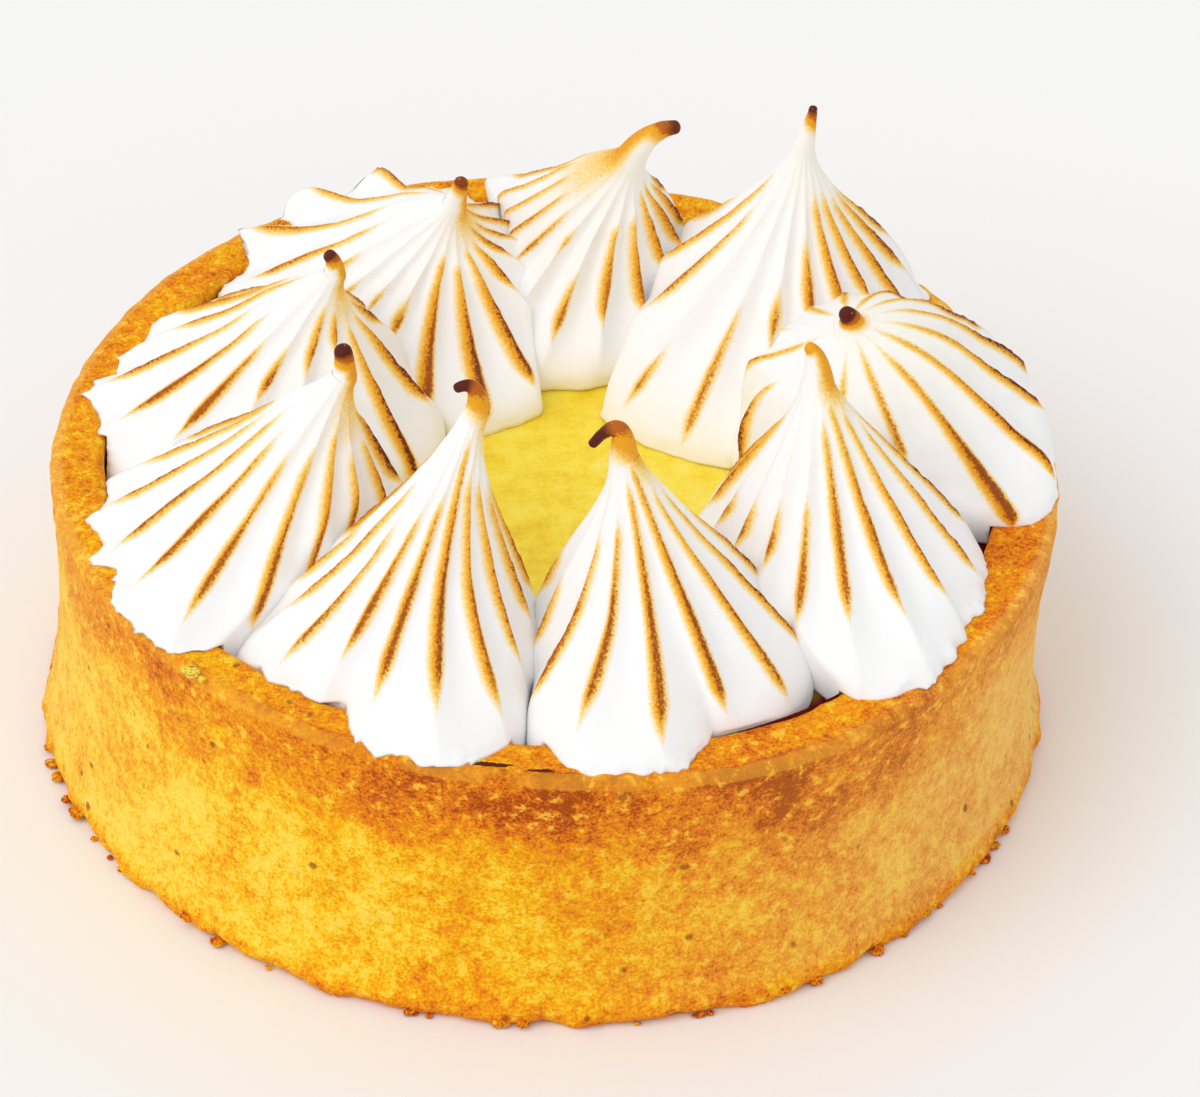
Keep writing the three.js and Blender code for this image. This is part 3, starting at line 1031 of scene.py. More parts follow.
@dataclass
class LemonCurd:
    """The curd: a flat filling whose surface is a little uneven.

    Attributes:
        columns: columns round it.
        rows: rows from its edge to its middle.
        gap: room between it and the case.
        shaded_edge_from: distance from the middle beyond which it has caught and is darkened by painted
            shade.
        streaks: soft streaks of the surface.
        shape: the plain shape of the case.
    """

    columns: int = 200
    rows: int = 70
    gap: float = 0.4
    shaded_edge_from: float = 32.0
    streaks: Grain = Grain(3.2, 14)
    shape: Case = CASE

    def level(self, points: np.ndarray) -> np.ndarray:
        """Height of the surface.

        Args:
            points: points of the surface.

        Returns:
            The height at each point.
        """
        x, y = points[..., 0], points[..., 1]
        dip = 0.5 + 0.25 * np.sin(0.35 * x + 1.0) + 0.25 * np.cos(0.3 * y)
        return CURD_HEIGHT - 0.25 * dip + 0.09 * self.streaks.rough(points * (1.0, 0.5, 1.0), 3)

    def build(self) -> bpy.types.Object:
        """Makes the curd and dresses it.

        Returns:
            The new piece.
        """
        angle = np.arange(self.columns) * TURN / self.columns
        edge = self.shape.inside(angle) - self.gap
        foot = self.shape.floor_height + self.gap
        low = self.shape.floor_radius - self.gap
        rows = [ring(low, angle, foot)]
        rows.append(ring(low + self.shape.floor_fillet, angle, foot + self.shape.floor_fillet))
        rows.append(ring(edge, angle, self.shape.wall_foot))
        for share in np.linspace(1.0, 0.02, self.rows):
            points = ring(share * edge, angle, CURD_HEIGHT)
            points[..., 2] = self.level(points)
            rows.append(points)
        middle = np.array([0.0, 0.0, self.level(np.zeros((1, 3)))[0]])
        skin = Skin(np.array(rows), np.array([0.0, 0.0, foot]), middle)
        reach = np.hypot(skin.rings[..., 0], skin.rings[..., 1])
        # Caught edge, darkened by painted shade near the wall.
        skin.marks["caught_and_shaded"] = smooth(self.shaded_edge_from, self.shaded_edge_from + 1.6, reach)
        piece = skin.build("curd_filling")
        piece.data.materials.append(CurdFinish().material())
        return piece


@dataclass(frozen=True)
class Toast:
    """Toasted line on a ridge.

    Attributes:
        start: share of the kiss's length where the line starts.
        end: share where it ends.
        width: half of its width in millimetres.
        char: how dark it is, from golden at 0 to nearly black at 1.
    """

    start: float
    end: float
    width: float
    char: float


@dataclass(frozen=True)
class Kiss:
    """Shape of one piped meringue kiss and where the torch has caught it.

    Attributes:
        name: node that the kiss stands for.
        base: centre where it stands.
        radius: its widest.
        belly: how full its flank is.
        sweep: how hollow its flank is towards the neck.
        lean: how late its middle line leans over.
        neck: where the cone ends.
        neck_radius: thickness there.
        bend: point that the curl above the neck bends to.
        tip: where it ends.
        tip_radius: thickness there.
        taper: below 1 the curl thins early.
        fill: how much it widens at its two outer corners, the clockwise one first.
        spread: how much its foot widens inwards.
        ridges: number of ridges.
        crest: angle of one crest in degrees.
        crowd: how unevenly the ridges are spread.
        crowd_at: angle where they stand closest, in degrees.
        singe: shares of the length where the tip turns brown and where it turns dark.
        glow: side of the neck that is golden, in degrees, and share of the length where that starts.
        lines: toasted lines by ridge, counted from the crest's.
        lobes: angles in degrees between which the ridges curl up over the rim, and how far they do.
    """

    name: str
    base: tuple[float, float]
    radius: float
    belly: float
    sweep: float
    lean: float
    neck: tuple[float, float, float]
    neck_radius: float
    bend: tuple[float, float, float]
    tip: tuple[float, float, float]
    tip_radius: float
    taper: float
    fill: tuple[float, float]
    spread: float
    ridges: int
    crest: float
    crowd: float
    crowd_at: float
    singe: tuple[float, float]
    glow: tuple[float, float]
    lines: dict[int, Toast]
    lobes: tuple[float, float, float] = (0.0, 0.0, 0.0)


def toasted(first: int, *lines: tuple[float, float, float, float]) -> dict[int, Toast]:
    """Toasted lines on ridges that follow one another, the first one on the ridge with a number."""
    return {first + step: Toast(*line) for step, line in enumerate(lines)}


KISSES = (
    Kiss(
        name="meringue_1", base=(-24.2, -11.6), radius=13.4, belly=1.8, sweep=1.45, lean=1.35,
        neck=(-16.1, -9.75, 40), neck_radius=1, bend=(-16.05, -9.65, 41.3), tip=(-16.2, -9.6, 42.3),
        tip_radius=0.68, taper=0.85, fill=(0.15, 0.45), spread=0.08, ridges=15, crest=248, crowd=0,
        crowd_at=270, singe=(0.93, 0.98), glow=(350, 0.45),
        lines=toasted(-4, (0.27, 0.62, 0.3, 0.5), (0.24, 0.6, 0.36, 0.45), (0.23, 0.64, 0.42, 0.3),
                      (0.25, 0.6, 0.55, 0.2), (0.23, 0.58, 0.55, 0.25), (0.16, 0.6, 0.62, 0.4),
                      (0.15, 0.66, 0.58, 0.3), (0.27, 0.58, 0.5, 0.5), (0.28, 0.6, 0.55, 0.6),
                      (0.33, 0.7, 0.75, 0.95), (0.36, 0.62, 0.6, 0.8)),
    ),
    Kiss(
        name="meringue_2", base=(-24.6, 7.8), radius=13.4, belly=1.9, sweep=1.45, lean=1.35,
        neck=(-17.5, 7.2, 37.6), neck_radius=0.9, bend=(-17.4, 7.2, 38.7), tip=(-17.9, 7.2, 39.4),
        tip_radius=0.5, taper=0.85, fill=(0.08, 0.3), spread=0.2, ridges=15, crest=208, crowd=0,
        crowd_at=270, singe=(0.95, 0.985), glow=(0, 0.46),
        lines=toasted(-2, (0.37, 0.71, 0.35, 0.4), (0.24, 0.58, 0.45, 0.45), (0.26, 0.6, 0.62, 0.25),
                      (0.28, 0.56, 0.75, 0.15), (0.42, 0.57, 0.45, 0.35), (0.5, 0.7, 0.35, 0.3),
                      (0.55, 0.7, 0.35, 0.4), (0.02, 0.62, 0.75, 0.9), (0.2, 0.63, 0.7, 0.95),
                      (0.45, 0.68, 0.5, 0.7)),
    ),
    Kiss(
        name="meringue_3", base=(-14, 24.2), radius=14.4, belly=2.1, sweep=1.4, lean=1.35,
        neck=(-8.2, 19.65, 35.8), neck_radius=1, bend=(-7.9, 19.4, 37.2), tip=(-7.7, 19.3, 38.3),
        tip_radius=0.55, taper=0.85, fill=(0.12, 0.1), spread=0.37, ridges=17, crest=264, crowd=0.35,
        crowd_at=295, singe=(0.98, 1.0), glow=(5, 0.48), lobes=(75, 195, 1.5),
        lines=toasted(-6, (0.3, 0.7, 0.35, 0.3), (0.25, 0.62, 0.4, 0.3), (0.28, 0.61, 0.4, 0.3),
                      (0.42, 0.55, 0.35, 0.2), (0.42, 0.5, 0.3, 0), (0.43, 0.5, 0.5, 0.6),
                      (0.35, 0.48, 0.5, 0.15), (0.12, 0.64, 0.75, 0.3), (0.06, 0.6, 0.7, 0.75),
                      (0.14, 0.66, 0.62, 0.8), (0.42, 0.67, 0.6, 0.8), (0.5, 0.74, 0.5, 0.8),
                      (0.5, 0.72, 0.35, 0.5)),
    ),
    Kiss(
        name="meringue_4", base=(-0.3, 27.6), radius=11.8, belly=1.9, sweep=1.35, lean=1.3,
        neck=(6, 23.3, 38), neck_radius=1.4, bend=(7.3, 23.1, 41.1), tip=(9.6, 22.8, 41.6),
        tip_radius=0.56, taper=0.8, fill=(0, 0.25), spread=0.26, ridges=15, crest=266, crowd=0.3,
        crowd_at=285, singe=(0.97, 0.99), glow=(165, 0.45),
        lines=toasted(-5, (0.3, 0.66, 0.3, 0.3), (0.22, 0.66, 0.3, 0.3), (0.4, 0.63, 0.3, 0.2),
                      (0.39, 0.59, 0.3, 0.4), (0.46, 0.55, 0.25, 0), (0.2, 0.4, 0.42, 0),
                      (0.24, 0.58, 0.42, 0.15), (0.24, 0.6, 0.45, 0.2), (0.34, 0.7, 0.45, 0.5),
                      (0.36, 0.72, 0.5, 0.85), (0.34, 0.67, 0.6, 0.9), (0.45, 0.66, 0.6, 0.9)),
    ),
    Kiss(
        name="meringue_5", base=(18.6, 20.2), radius=13.8, belly=1.7, sweep=1.65, lean=1.3,
        neck=(20, 19.9, 42), neck_radius=0.85, bend=(20.4, 20, 44), tip=(20.6, 20, 45.5),
        tip_radius=0.3, taper=0.95, fill=(-0.06, 0), spread=0.33, ridges=15, crest=262, crowd=0.3,
        crowd_at=280, singe=(0.96, 0.985), glow=(350, 0.9),
        lines=toasted(-5, (0.35, 0.5, 0.35, 0.5), (0.3, 0.66, 0.3, 0.6), (0.26, 0.57, 0.3, 0.35),
                      (0.08, 0.22, 0.32, 0), (0.05, 0.36, 0.32, 0), (0.29, 0.41, 0.45, 0.1),
                      (0.33, 0.53, 0.5, 0.25), (0.33, 0.64, 0.45, 0.4), (0.33, 0.64, 0.5, 0.6),
                      (0.24, 0.61, 0.55, 0.85), (0.3, 0.6, 0.55, 0.8), (0.33, 0.58, 0.5, 0.8),
                      (0.39, 0.64, 0.45, 0.7)),
    ),
    Kiss(
        name="meringue_6", base=(28.2, 5.6), radius=13.2, belly=3.2, sweep=0.95, lean=1.2,
        neck=(23.6, 3.9, 35.8), neck_radius=1.15, bend=(23.5, 3.8, 36.6), tip=(23.1, 3.6, 37),
        tip_radius=0.6, taper=0.85, fill=(0.35, 0.12), spread=0.05, ridges=14, crest=306, crowd=0,
        crowd_at=180, singe=(0.9, 0.955), glow=(340, 0.74),
        lines=toasted(-5, (0.3, 0.74, 0.5, 0.85), (0.15, 0.61, 0.55, 0.8), (0.35, 0.6, 0.4, 0.4),
                      (0.5, 0.74, 0.3, 0.2), (0.42, 0.76, 0.42, 0.3), (0.1, 0.73, 0.9, 0.45),
                      (0.18, 0.76, 0.68, 0.85), (0.3, 0.74, 0.68, 0.95), (0.26, 0.74, 0.68, 0.95),
                      (0.33, 0.76, 0.62, 0.9), (0.45, 0.78, 0.58, 0.85), (0.45, 0.76, 0.5, 0.8),
                      (0.45, 0.75, 0.45, 0.7)),
    ),
    Kiss(
        name="meringue_7", base=(22.2, -13.8), radius=12.2, belly=1.7, sweep=1.32, lean=1.3,
        neck=(20.4, -9.6, 39.6), neck_radius=1.4, bend=(20.4, -9, 42.2), tip=(19.7, -9, 42.8),
        tip_radius=0.45, taper=0.85, fill=(0.4, 0.05), spread=0.05, ridges=14, crest=276, crowd=0.25,
        crowd_at=235, singe=(1.02, 1.1), glow=(350, 0.55),
        lines=toasted(-6, (0.28, 0.7, 0.4, 0.6), (0.3, 0.7, 0.4, 0.6), (0.33, 0.44, 0.4, 0.5),
                      (0.33, 0.47, 0.42, 0.3), (0.33, 0.49, 0.42, 0.1), (0.23, 0.52, 0.46, 0.1),
                      (0.26, 0.7, 0.48, 0.2), (0.26, 0.76, 0.46, 0.4), (0.22, 0.72, 0.42, 0.7),
                      (0.17, 0.66, 0.42, 0.85), (0.18, 0.7, 0.46, 0.9), (0.25, 0.6, 0.5, 0.85)),
    ),
    Kiss(
        name="meringue_8", base=(8.9, -23.2), radius=11, belly=1.8, sweep=1.6, lean=1.3,
        neck=(5.4, -20.7, 41), neck_radius=1.2, bend=(5.5, -20.6, 45.4), tip=(3.05, -20.6, 42),
        tip_radius=0.35, taper=0.6, fill=(0.75, 0.1), spread=0, ridges=13, crest=271, crowd=0.1,
        crowd_at=210, singe=(0.86, 0.94), glow=(0, 0.52),
        lines=toasted(-4, (0.24, 0.4, 0.32, 0.4), (0.16, 0.38, 0.36, 0.45), (0.14, 0.56, 0.45, 0.25),
                      (0.2, 0.62, 0.48, 0.35), (0.17, 0.72, 0.58, 0.4), (0.14, 0.78, 0.6, 0.5),
                      (0.1, 0.68, 0.48, 0.75), (0.13, 0.66, 0.5, 0.9), (0.22, 0.55, 0.5, 0.85)),
    ),
    Kiss(
        name="meringue_9", base=(-11.4, -23), radius=11.2, belly=1.65, sweep=1.9, lean=1.3,
        neck=(-5.65, -20.4, 45.2), neck_radius=0.92, bend=(-5.6, -20.4, 47.7), tip=(-7.2, -20.4, 46.9),
        tip_radius=0.35, taper=0.7, fill=(0.28, 0.7), spread=0, ridges=15, crest=257, crowd=0.1,
        crowd_at=250, singe=(0.84, 0.93), glow=(0, 0.5),
        lines=toasted(-4, (0.2, 0.4, 0.28, 0.3), (0.22, 0.56, 0.3, 0.3), (0.17, 0.47, 0.34, 0.15),
                      (0.22, 0.53, 0.48, 0.2), (0.19, 0.57, 0.54, 0.3), (0.2, 0.7, 0.55, 0.45),
                      (0.16, 0.62, 0.48, 0.35), (0.17, 0.6, 0.42, 0.75), (0.2, 0.55, 0.42, 0.8),
                      (0.18, 0.55, 0.4, 0.6)),
    ),
)

# Degrees that the seam after a kiss is turned, and millimetres that it is moved, counter-clockwise.
SEAM_SHIFT = {"meringue_4": (-7.0, 0.0), "meringue_5": (-3.0, 0.0), "meringue_6": (14.0, -7.4)}


class Texture(Enum):
    """Kinds of relief on a kiss, each with the size of its lumps in millimetres and its first seed."""

    SOFT = (4.5, 100)
    FINE = (1.4, 200)
    BLISTERS = (0.5, 300)
    TEETH = (0.7, 400)
    TONGUES = (1.6, 450)
    NOTCHES = (1.2, 500)
    FOAM = (2.6, 600)


@dataclass
class MeringueKiss:
    """A piped kiss with sharp ridges, a torn hem over the rim and toasted lines.

    Attributes:
        kiss: its shape and its toasted lines.
        seed: number of the kiss, which its random relief depends on.
        columns_per_ridge: columns in each ridge.
        body_rows: rows from the rim to the neck.
        tip_rows: rows from the neck to the tip.
        neck_at: share of the length at the neck.
        ridge_depth: depth of a valley as a share of the radius.
        hem_drawn: how far the crests are drawn out over the rim.
        squeeze_blend: how softly neighbours press against each other.
        clear_room: room at the sides once they no longer do.
        seam_gap: gap between neighbours, below 0 where they run into each other.
        overhang_radius: distance beyond which the overhang over the rim is held back.
        overhang_give: how far it may still go past that.
        hem_lift: height of the hem above the rim.
        widest_at: share of the length where it is widest.
        torch: direction in degrees from which it was toasted most.
        line_width: factor for the width of the toasted lines.
        lobes_fade: degrees over which curled ridges fade in and out.
        lobes_reach: distances from the middle over which they curl up.
        fill_fade: shares of the length over which the fill of the corners fades out.
        spread_fade: those over which the spread of the foot fades out.
        ridges_grow: those over which the ridges grow to full depth.
        ridges_fade: those over which they fade out again.
        turn_over: those over which the sections turn square with the middle line.
        squeeze_fade: those over which neighbours stop pressing against each other.
        evened: steps along the length and weights that even out the radius.
        shape: the plain shape of the case.
    """

    LINE_SEED = 900

    kiss: Kiss
    seed: int
    columns_per_ridge: int = 18
    body_rows: int = 112
    tip_rows: int = 34
    neck_at: float = 0.8
    ridge_depth: float = 0.15
    hem_drawn: float = 0.15
    squeeze_blend: float = 0.7
    clear_room: float = 30.0
    seam_gap: float = -1.0
    overhang_radius: float = 38.4
    overhang_give: float = 2.2
    hem_lift: float = 0.12
    widest_at: float = 0.15
    torch: float = 35.0
    line_width: float = 0.62
    lobes_fade: float = 15.0
    lobes_reach: tuple[float, float] = (32.0, 38.0)
    fill_fade: tuple[float, float] = (0.1, 0.42)
    spread_fade: tuple[float, float] = (0.0, 0.55)
    ridges_grow: tuple[float, float] = (0.05, 0.3)
    ridges_fade: tuple[float, float] = (0.5, 0.85)
    turn_over: tuple[float, float] = (0.5, 0.85)
    squeeze_fade: tuple[float, float] = (0.62, 0.8)
    evened: tuple = ((-0.03, 0.12), (-0.015, 0.22), (0.0, 0.32), (0.015, 0.22), (0.03, 0.12))
    shape: Case = CASE

    def _grain(self, texture: Texture) -> Grain:
        """Relief of one kind, which is different on each kiss."""
        size, first_seed = texture.value
        return Grain(size, first_seed + self.seed)

    def middle(self, share: np.ndarray) -> np.ndarray:
        """Middle line: a leaning stem up to the neck, then the curl.

        Args:
            share: shares of the length.

        Returns:
            A point of the line for each share.
        """
        kiss = self.kiss
        share = np.asarray(share, dtype=float)[..., None]
        rise = np.clip(share / self.neck_at, 0.0, 1.0)
        lean = rise**kiss.lean
        stem = np.concatenate([mix(kiss.base[0], kiss.neck[0], lean), mix(kiss.base[1], kiss.neck[1], lean),
                               mix(CURD_HEIGHT, kiss.neck[2], rise)], axis=-1)
        curl = np.clip((share - self.neck_at) / (1.0 - self.neck_at), 0.0, 1.0)
        neck, bend, tip = (np.array(point, dtype=float) for point in (kiss.neck, kiss.bend, kiss.tip))
        hook = (1.0 - curl) ** 2 * neck + 2.0 * curl * (1.0 - curl) * bend + curl**2 * tip
        return np.where(share <= self.neck_at, stem, hook)

    def crest_radius(self, share: np.ndarray) -> np.ndarray:
        """Radius at the crests: an onion-shaped body, then a thin tapering tip.

        Args:
            share: shares of the length.

        Returns:
            The radius at each share.
        """
        kiss = self.kiss
        total = 0.0
        for step, weight in self.evened:
            place = np.clip(share + step, 0.0, 1.0)
            rise = np.clip(place / self.neck_at, 0.0, 1.0)
            body = mix(kiss.neck_radius, kiss.radius, (1.0 - rise**kiss.belly) ** kiss.sweep)
            curl = np.clip((place - self.neck_at) / (1.0 - self.neck_at), 0.0, 1.0) ** kiss.taper
            end = mix(kiss.neck_radius, kiss.tip_radius, curl)
            total = total + weight * np.where(place <= self.neck_at, body, end)
        return total

    def swell(self, share: np.ndarray, angle: np.ndarray) -> np.ndarray:
        """How much wider than its crest radius it is low down, where it fills corners and spreads.

        Args:
            share: share of the length.
            angle: angle of each column.

        Returns:
            A factor for the radius.
        """
        turned = angle - math.atan2(self.kiss.base[1], self.kiss.base[0])
        outward = np.cos(turned)
        corner = np.sin(2.0 * turned) * np.sqrt(np.clip(outward, 0.0, 1.0))
        fill = np.where(corner < 0.0, self.kiss.fill[0], self.kiss.fill[1]) * np.abs(corner)
        spread = self.kiss.spread * np.sqrt(np.clip(-outward, 0.0, 1.0))
        fill = fill * (1.0 - smooth(*self.fill_fade, share))
        return 1.0 + fill + spread * (1.0 - smooth(*self.spread_fade, share))

    def angles(self) -> tuple[np.ndarray, np.ndarray]:
        """Where the columns are, so that each ridge has the same number of them.

        Returns:
            Angle of each column, and its place counted in ridges from the first crest.
        """
        kiss = self.kiss
        places = np.arange(kiss.ridges * self.columns_per_ridge) / self.columns_per_ridge
        crest, crowd_at = math.radians(kiss.crest), math.radians(kiss.crowd_at)
        wanted = crest + kiss.crowd * math.sin(crest - crowd_at) + TURN * places / kiss.ridges
        angle = wanted.copy()
        for _ in range(40):
            angle = wanted - kiss.crowd * np.sin(angle - crowd_at)
        return angle, places

    def _seams(self) -> list[tuple[np.ndarray, float]]:
        """The two upright seams with the neighbours.

        Returns:
            Outward direction and place of each seam.
        """
        around = sorted(KISSES, key=lambda one: math.atan2(one.base[1], one.base[0]))
        here = around.index(self.kiss)
        place = [math.atan2(one.base[1], one.base[0]) for one in around]
        after = (here + 1) % len(around)
        before = here - 1
        turned_on, moved_on = SEAM_SHIFT.get(self.kiss.name, (0.0, 0.0))
        turned_back, moved_back = SEAM_SHIFT.get(around[before].name, (0.0, 0.0))
        ahead = place[here] + ((place[after] - place[here]) % TURN) / 2.0 + math.radians(turned_on)
        behind = place[here] - ((place[here] - place[before]) % TURN) / 2.0 + math.radians(turned_back)
        return [(np.array([-math.sin(ahead), math.cos(ahead), 0.0]), moved_on),
                (np.array([math.sin(behind), -math.cos(behind), 0.0]), -moved_back)]

    def surface(self, share: np.ndarray, angle: np.ndarray, valley: np.ndarray) -> np.ndarray:
        """Points of the skin.

        Args:
            share: share of the length, one for each row or for each point.
            angle: angle of each column.
            valley: how far each column is from a crest, 0 on it and 1 in the middle of a valley.

        Returns:
            An array of points, row by row.
        """
        share, angle, valley = np.broadcast_arrays(share, angle, valley)
        centre = self.middle(share)
        step = 0.001
        along = self.middle(np.minimum(share + step, 1.0)) - self.middle(share - step)
        along /= np.linalg.norm(along, axis=-1, keepdims=True)
        square = mix(np.array([0.0, 0.0, 1.0]), along, smooth(*self.turn_over, share)[..., None])
        square /= np.linalg.norm(square, axis=-1, keepdims=True)
        dip = square[..., 0] * np.cos(angle) + square[..., 1] * np.sin(angle)
        outward = np.stack([np.cos(angle) - square[..., 0] * dip / (1.0 + square[..., 2]),
                            np.sin(angle) - square[..., 1] * dip / (1.0 + square[..., 2]), -dip], axis=-1)
        depth = self.ridge_depth * smooth(*self.ridges_grow, share) * (1.0 - smooth(*self.ridges_fade, share))
        radius = self.crest_radius(share) * self.swell(share, angle) * (1.0 - depth * valley)
        for wall, place in self._seams():
            towards = outward @ wall
            room = (place - centre @ wall - self.seam_gap / 2.0) / np.maximum(towards, 1e-6)
            room = room + self.clear_room * smooth(*self.squeeze_fade, share)
            share_kept = np.clip(0.5 + 0.5 * (room - radius) / self.squeeze_blend, 0.0, 1.0)
            pressed = mix(room, radius, share_kept) - self.squeeze_blend * share_kept * (1.0 - share_kept)
            radius = np.where((towards > 0.0) & (share < self.neck_at), pressed, radius)
        return centre + outward * radius[..., None]

    @staticmethod
    def _hold(points: np.ndarray, limit: np.ndarray, give: float) -> np.ndarray:
        """Draws points in towards the tart's middle line where they are past a limit.

        Args:
            points: the points.
            limit: distance from the middle line.
            give: how far they may still be past it.

        Returns:
            The points after that.
        """
        reach = np.hypot(points[..., 0], points[..., 1])
        over = np.maximum(reach - limit, 0.0)
        held = limit + (give * (1.0 - np.exp(-over / give)) if give > 0.0 else 0.0)
        scale = np.where(over > 0.0, held / np.maximum(reach, 1e-6), 1.0)
        return points * np.stack([scale, scale, np.ones_like(scale)], axis=-1)

    def _rows(self, angle: np.ndarray, valley: np.ndarray) -> tuple[np.ndarray, np.ndarray]:
        """All rows from the foot to the tip.

        Args:
            angle: angle of each column.
            valley: how far each column is from a crest.

        Returns:
            Their points, and the share of the length at each point.
        """
        kiss = self.kiss
        rise = kiss.neck[2] - CURD_HEIGHT
        widest = self.surface(self.widest_at, angle, valley)
        lean_out = self._hold(widest, self.overhang_radius, self.overhang_give)
        place = np.arctan2(lean_out[..., 1], lean_out[..., 0])
        wall = self.shape.inside(place) - 0.15
        rim = (self.shape.rim(place) - CURD_HEIGHT) * self.neck_at / rise
        lift = self.hem_lift * self.neck_at / rise
        rows, shares = [], []
        for part in np.linspace(0.0, 1.0, 9):
            points = self._hold(self.surface(part * rim, angle, valley), wall, 0.0)
            rows.append(points)
            shares.append(part * rim)
        crest = 1.0 - valley
        for part in np.linspace(0.0, 1.0, self.body_rows):
            share = mix(rim + lift, self.neck_at, part)
            points = self.surface(share, angle, valley)
            reach = np.hypot(points[..., 0], points[..., 1])
            past = smooth(self.shape.inner_radius, self.overhang_radius, reach)
            fade = 1.0 - smooth(0.0, 0.12, part)
            drawn = 1.0 + crest * past * fade * self.hem_drawn / self.overhang_radius
            points = points * np.stack([drawn, drawn, np.ones_like(drawn)], axis=-1)
            rows.append(self._hold(points, self.overhang_radius, self.overhang_give))
            shares.append(share)
        for share in np.linspace(self.neck_at, 1.0, self.tip_rows)[1:]:
            rows.append(self.surface(share, angle, valley))
            shares.append(share + 0.0 * angle)
        return np.array(rows), np.array(shares)

    def _round_tip(self, rows: np.ndarray) -> tuple[np.ndarray, np.ndarray]:
        """Rounds off the tip.

        Args:
            rows: all rows so far.

        Returns:
            The rings that round it off, and the point that closes it.
        """
        end = self.middle(np.array([1.0]))[0]
        along = end - self.middle(np.array([0.999]))[0]
        along /= np.linalg.norm(along)
        radius = self.kiss.tip_radius
        caps = []
        for corner in np.radians([22.0, 44.0, 66.0]):
            caps.append(end + (rows[-1] - end) * math.cos(corner) + along * radius * 0.8 * math.sin(corner))
        return np.array(caps), end + along * radius * 0.8

    def _tear(self, points: np.ndarray) -> np.ndarray:
        """Draws the hem that lies on the rim out into small torn points.

        Args:
            points: points of the kiss.

        Returns:
            The points after that.
        """
        reach = np.hypot(points[..., 0], points[..., 1])
        past = smooth(self.shape.inner_radius - 0.5, self.shape.inner_radius + 1.5, reach)
        rim = self.shape.rim(np.arctan2(points[..., 1], points[..., 0]))
        low = 1.0 - smooth(0.0, 1.9, points[..., 2] - rim)
        flat = points * (1.0, 1.0, 0.25)
        spikes = np.clip(self._grain(Texture.TEETH).lumps(flat), 0.0, 1.0) ** 1.3 * 0.8
        spikes += np.clip(self._grain(Texture.TONGUES).lumps(flat), 0.0, 1.0) * 0.5
        notches = np.clip(self._grain(Texture.NOTCHES).lumps(flat), 0.0, 1.0) * 0.6
        drawn = past * low**1.6 * (spikes - notches) / np.maximum(reach, 1.0)
        moved = points * np.stack([1.0 + drawn, 1.0 + drawn, np.ones_like(drawn)], axis=-1)
        moved[..., 2] -= past * low * 0.1
        return moved

    def _lines(self, angle: np.ndarray, ridge: np.ndarray) -> list[np.ndarray]:
        """The toasted line of each column: the given one, or one made up for the way that it faces.

        Args:
            angle: angle of each column.
            ridge: number of the ridge that each column is on.

        Returns:
            Start, end, width and char at each column.
        """
        draw = np.random.default_rng(self.LINE_SEED + self.seed)
        start, end, width, char = (np.zeros(len(angle)) for _ in range(4))
        for number in sorted(set(ridge.tolist())):
            at = ridge == number
            towards = float(np.mean(facing(angle[at], self.torch)))
            spread = draw.uniform(-1.0, 1.0, 4)
            made_up = Toast(
                start=0.26 - 0.08 * towards + 0.05 * spread[0],
                end=0.68 + 0.1 * towards + 0.04 * spread[1],
                width=0.5 + 0.12 * towards + 0.06 * spread[2],
                char=min(1.0, max(0.0, 0.45 + 0.4 * towards + 0.1 * spread[3])))
            line = self.kiss.lines.get(number) or made_up
            start[at], end[at], width[at], char[at] = line.start, line.end, line.width, line.char
        return [start, end, width, char]

    def _toast_marks(self, share: np.ndarray, angle: np.ndarray, places: np.ndarray) -> dict[str, np.ndarray]:
        """Where the skin is toasted, how dark it is, and how creamy it is, partly as a painted reflection of
        the curd.

        Args:
            share: share of the length at each point.
            angle: angle of each column.
            places: place of each column, counted in ridges from the first crest.

        Returns:
            Each mark's values by its name. A toast of 0 is where the gold starts, and a core of 0 where the
            brown does.
        """
        kiss = self.kiss
        ridge = np.round(places).astype(int)
        side = places - ridge
        ridge = np.where(ridge > kiss.ridges / 2.0, ridge - kiss.ridges, ridge)
        ridge = np.where(ridge <= -kiss.ridges / 2.0, ridge + kiss.ridges, ridge)
        start, end, width, char = self._lines(angle, ridge)
        spacing = TURN / kiss.ridges / (1.0 + kiss.crowd * facing(angle, kiss.crowd_at))
        across = side * spacing * self.crest_radius(share)
        # The line itself: golden, with a brown core that lies a little to the side of the torch.
        begun = smooth(-0.03, 0.07, share - start)
        thin = smooth(0.35, 1.0, (share - start) / np.maximum(end - start, 0.05))
        kept = 1.0 - smooth(-0.04, 0.06, share - end)
        half = self.line_width * width * begun * (1.0 - 0.72 * thin)
        lit = np.cos(angle - math.radians(self.torch - 90.0))
        toast = half - np.abs(across + 0.06 * lit) - 0.5 * (1.0 - kept) - 0.4 * (1.0 - begun)
        core = 0.72 * half - np.abs(across - 0.1 * lit) - 0.03 - 0.12 * thin - 0.6 * (2.0 - kept - begun)
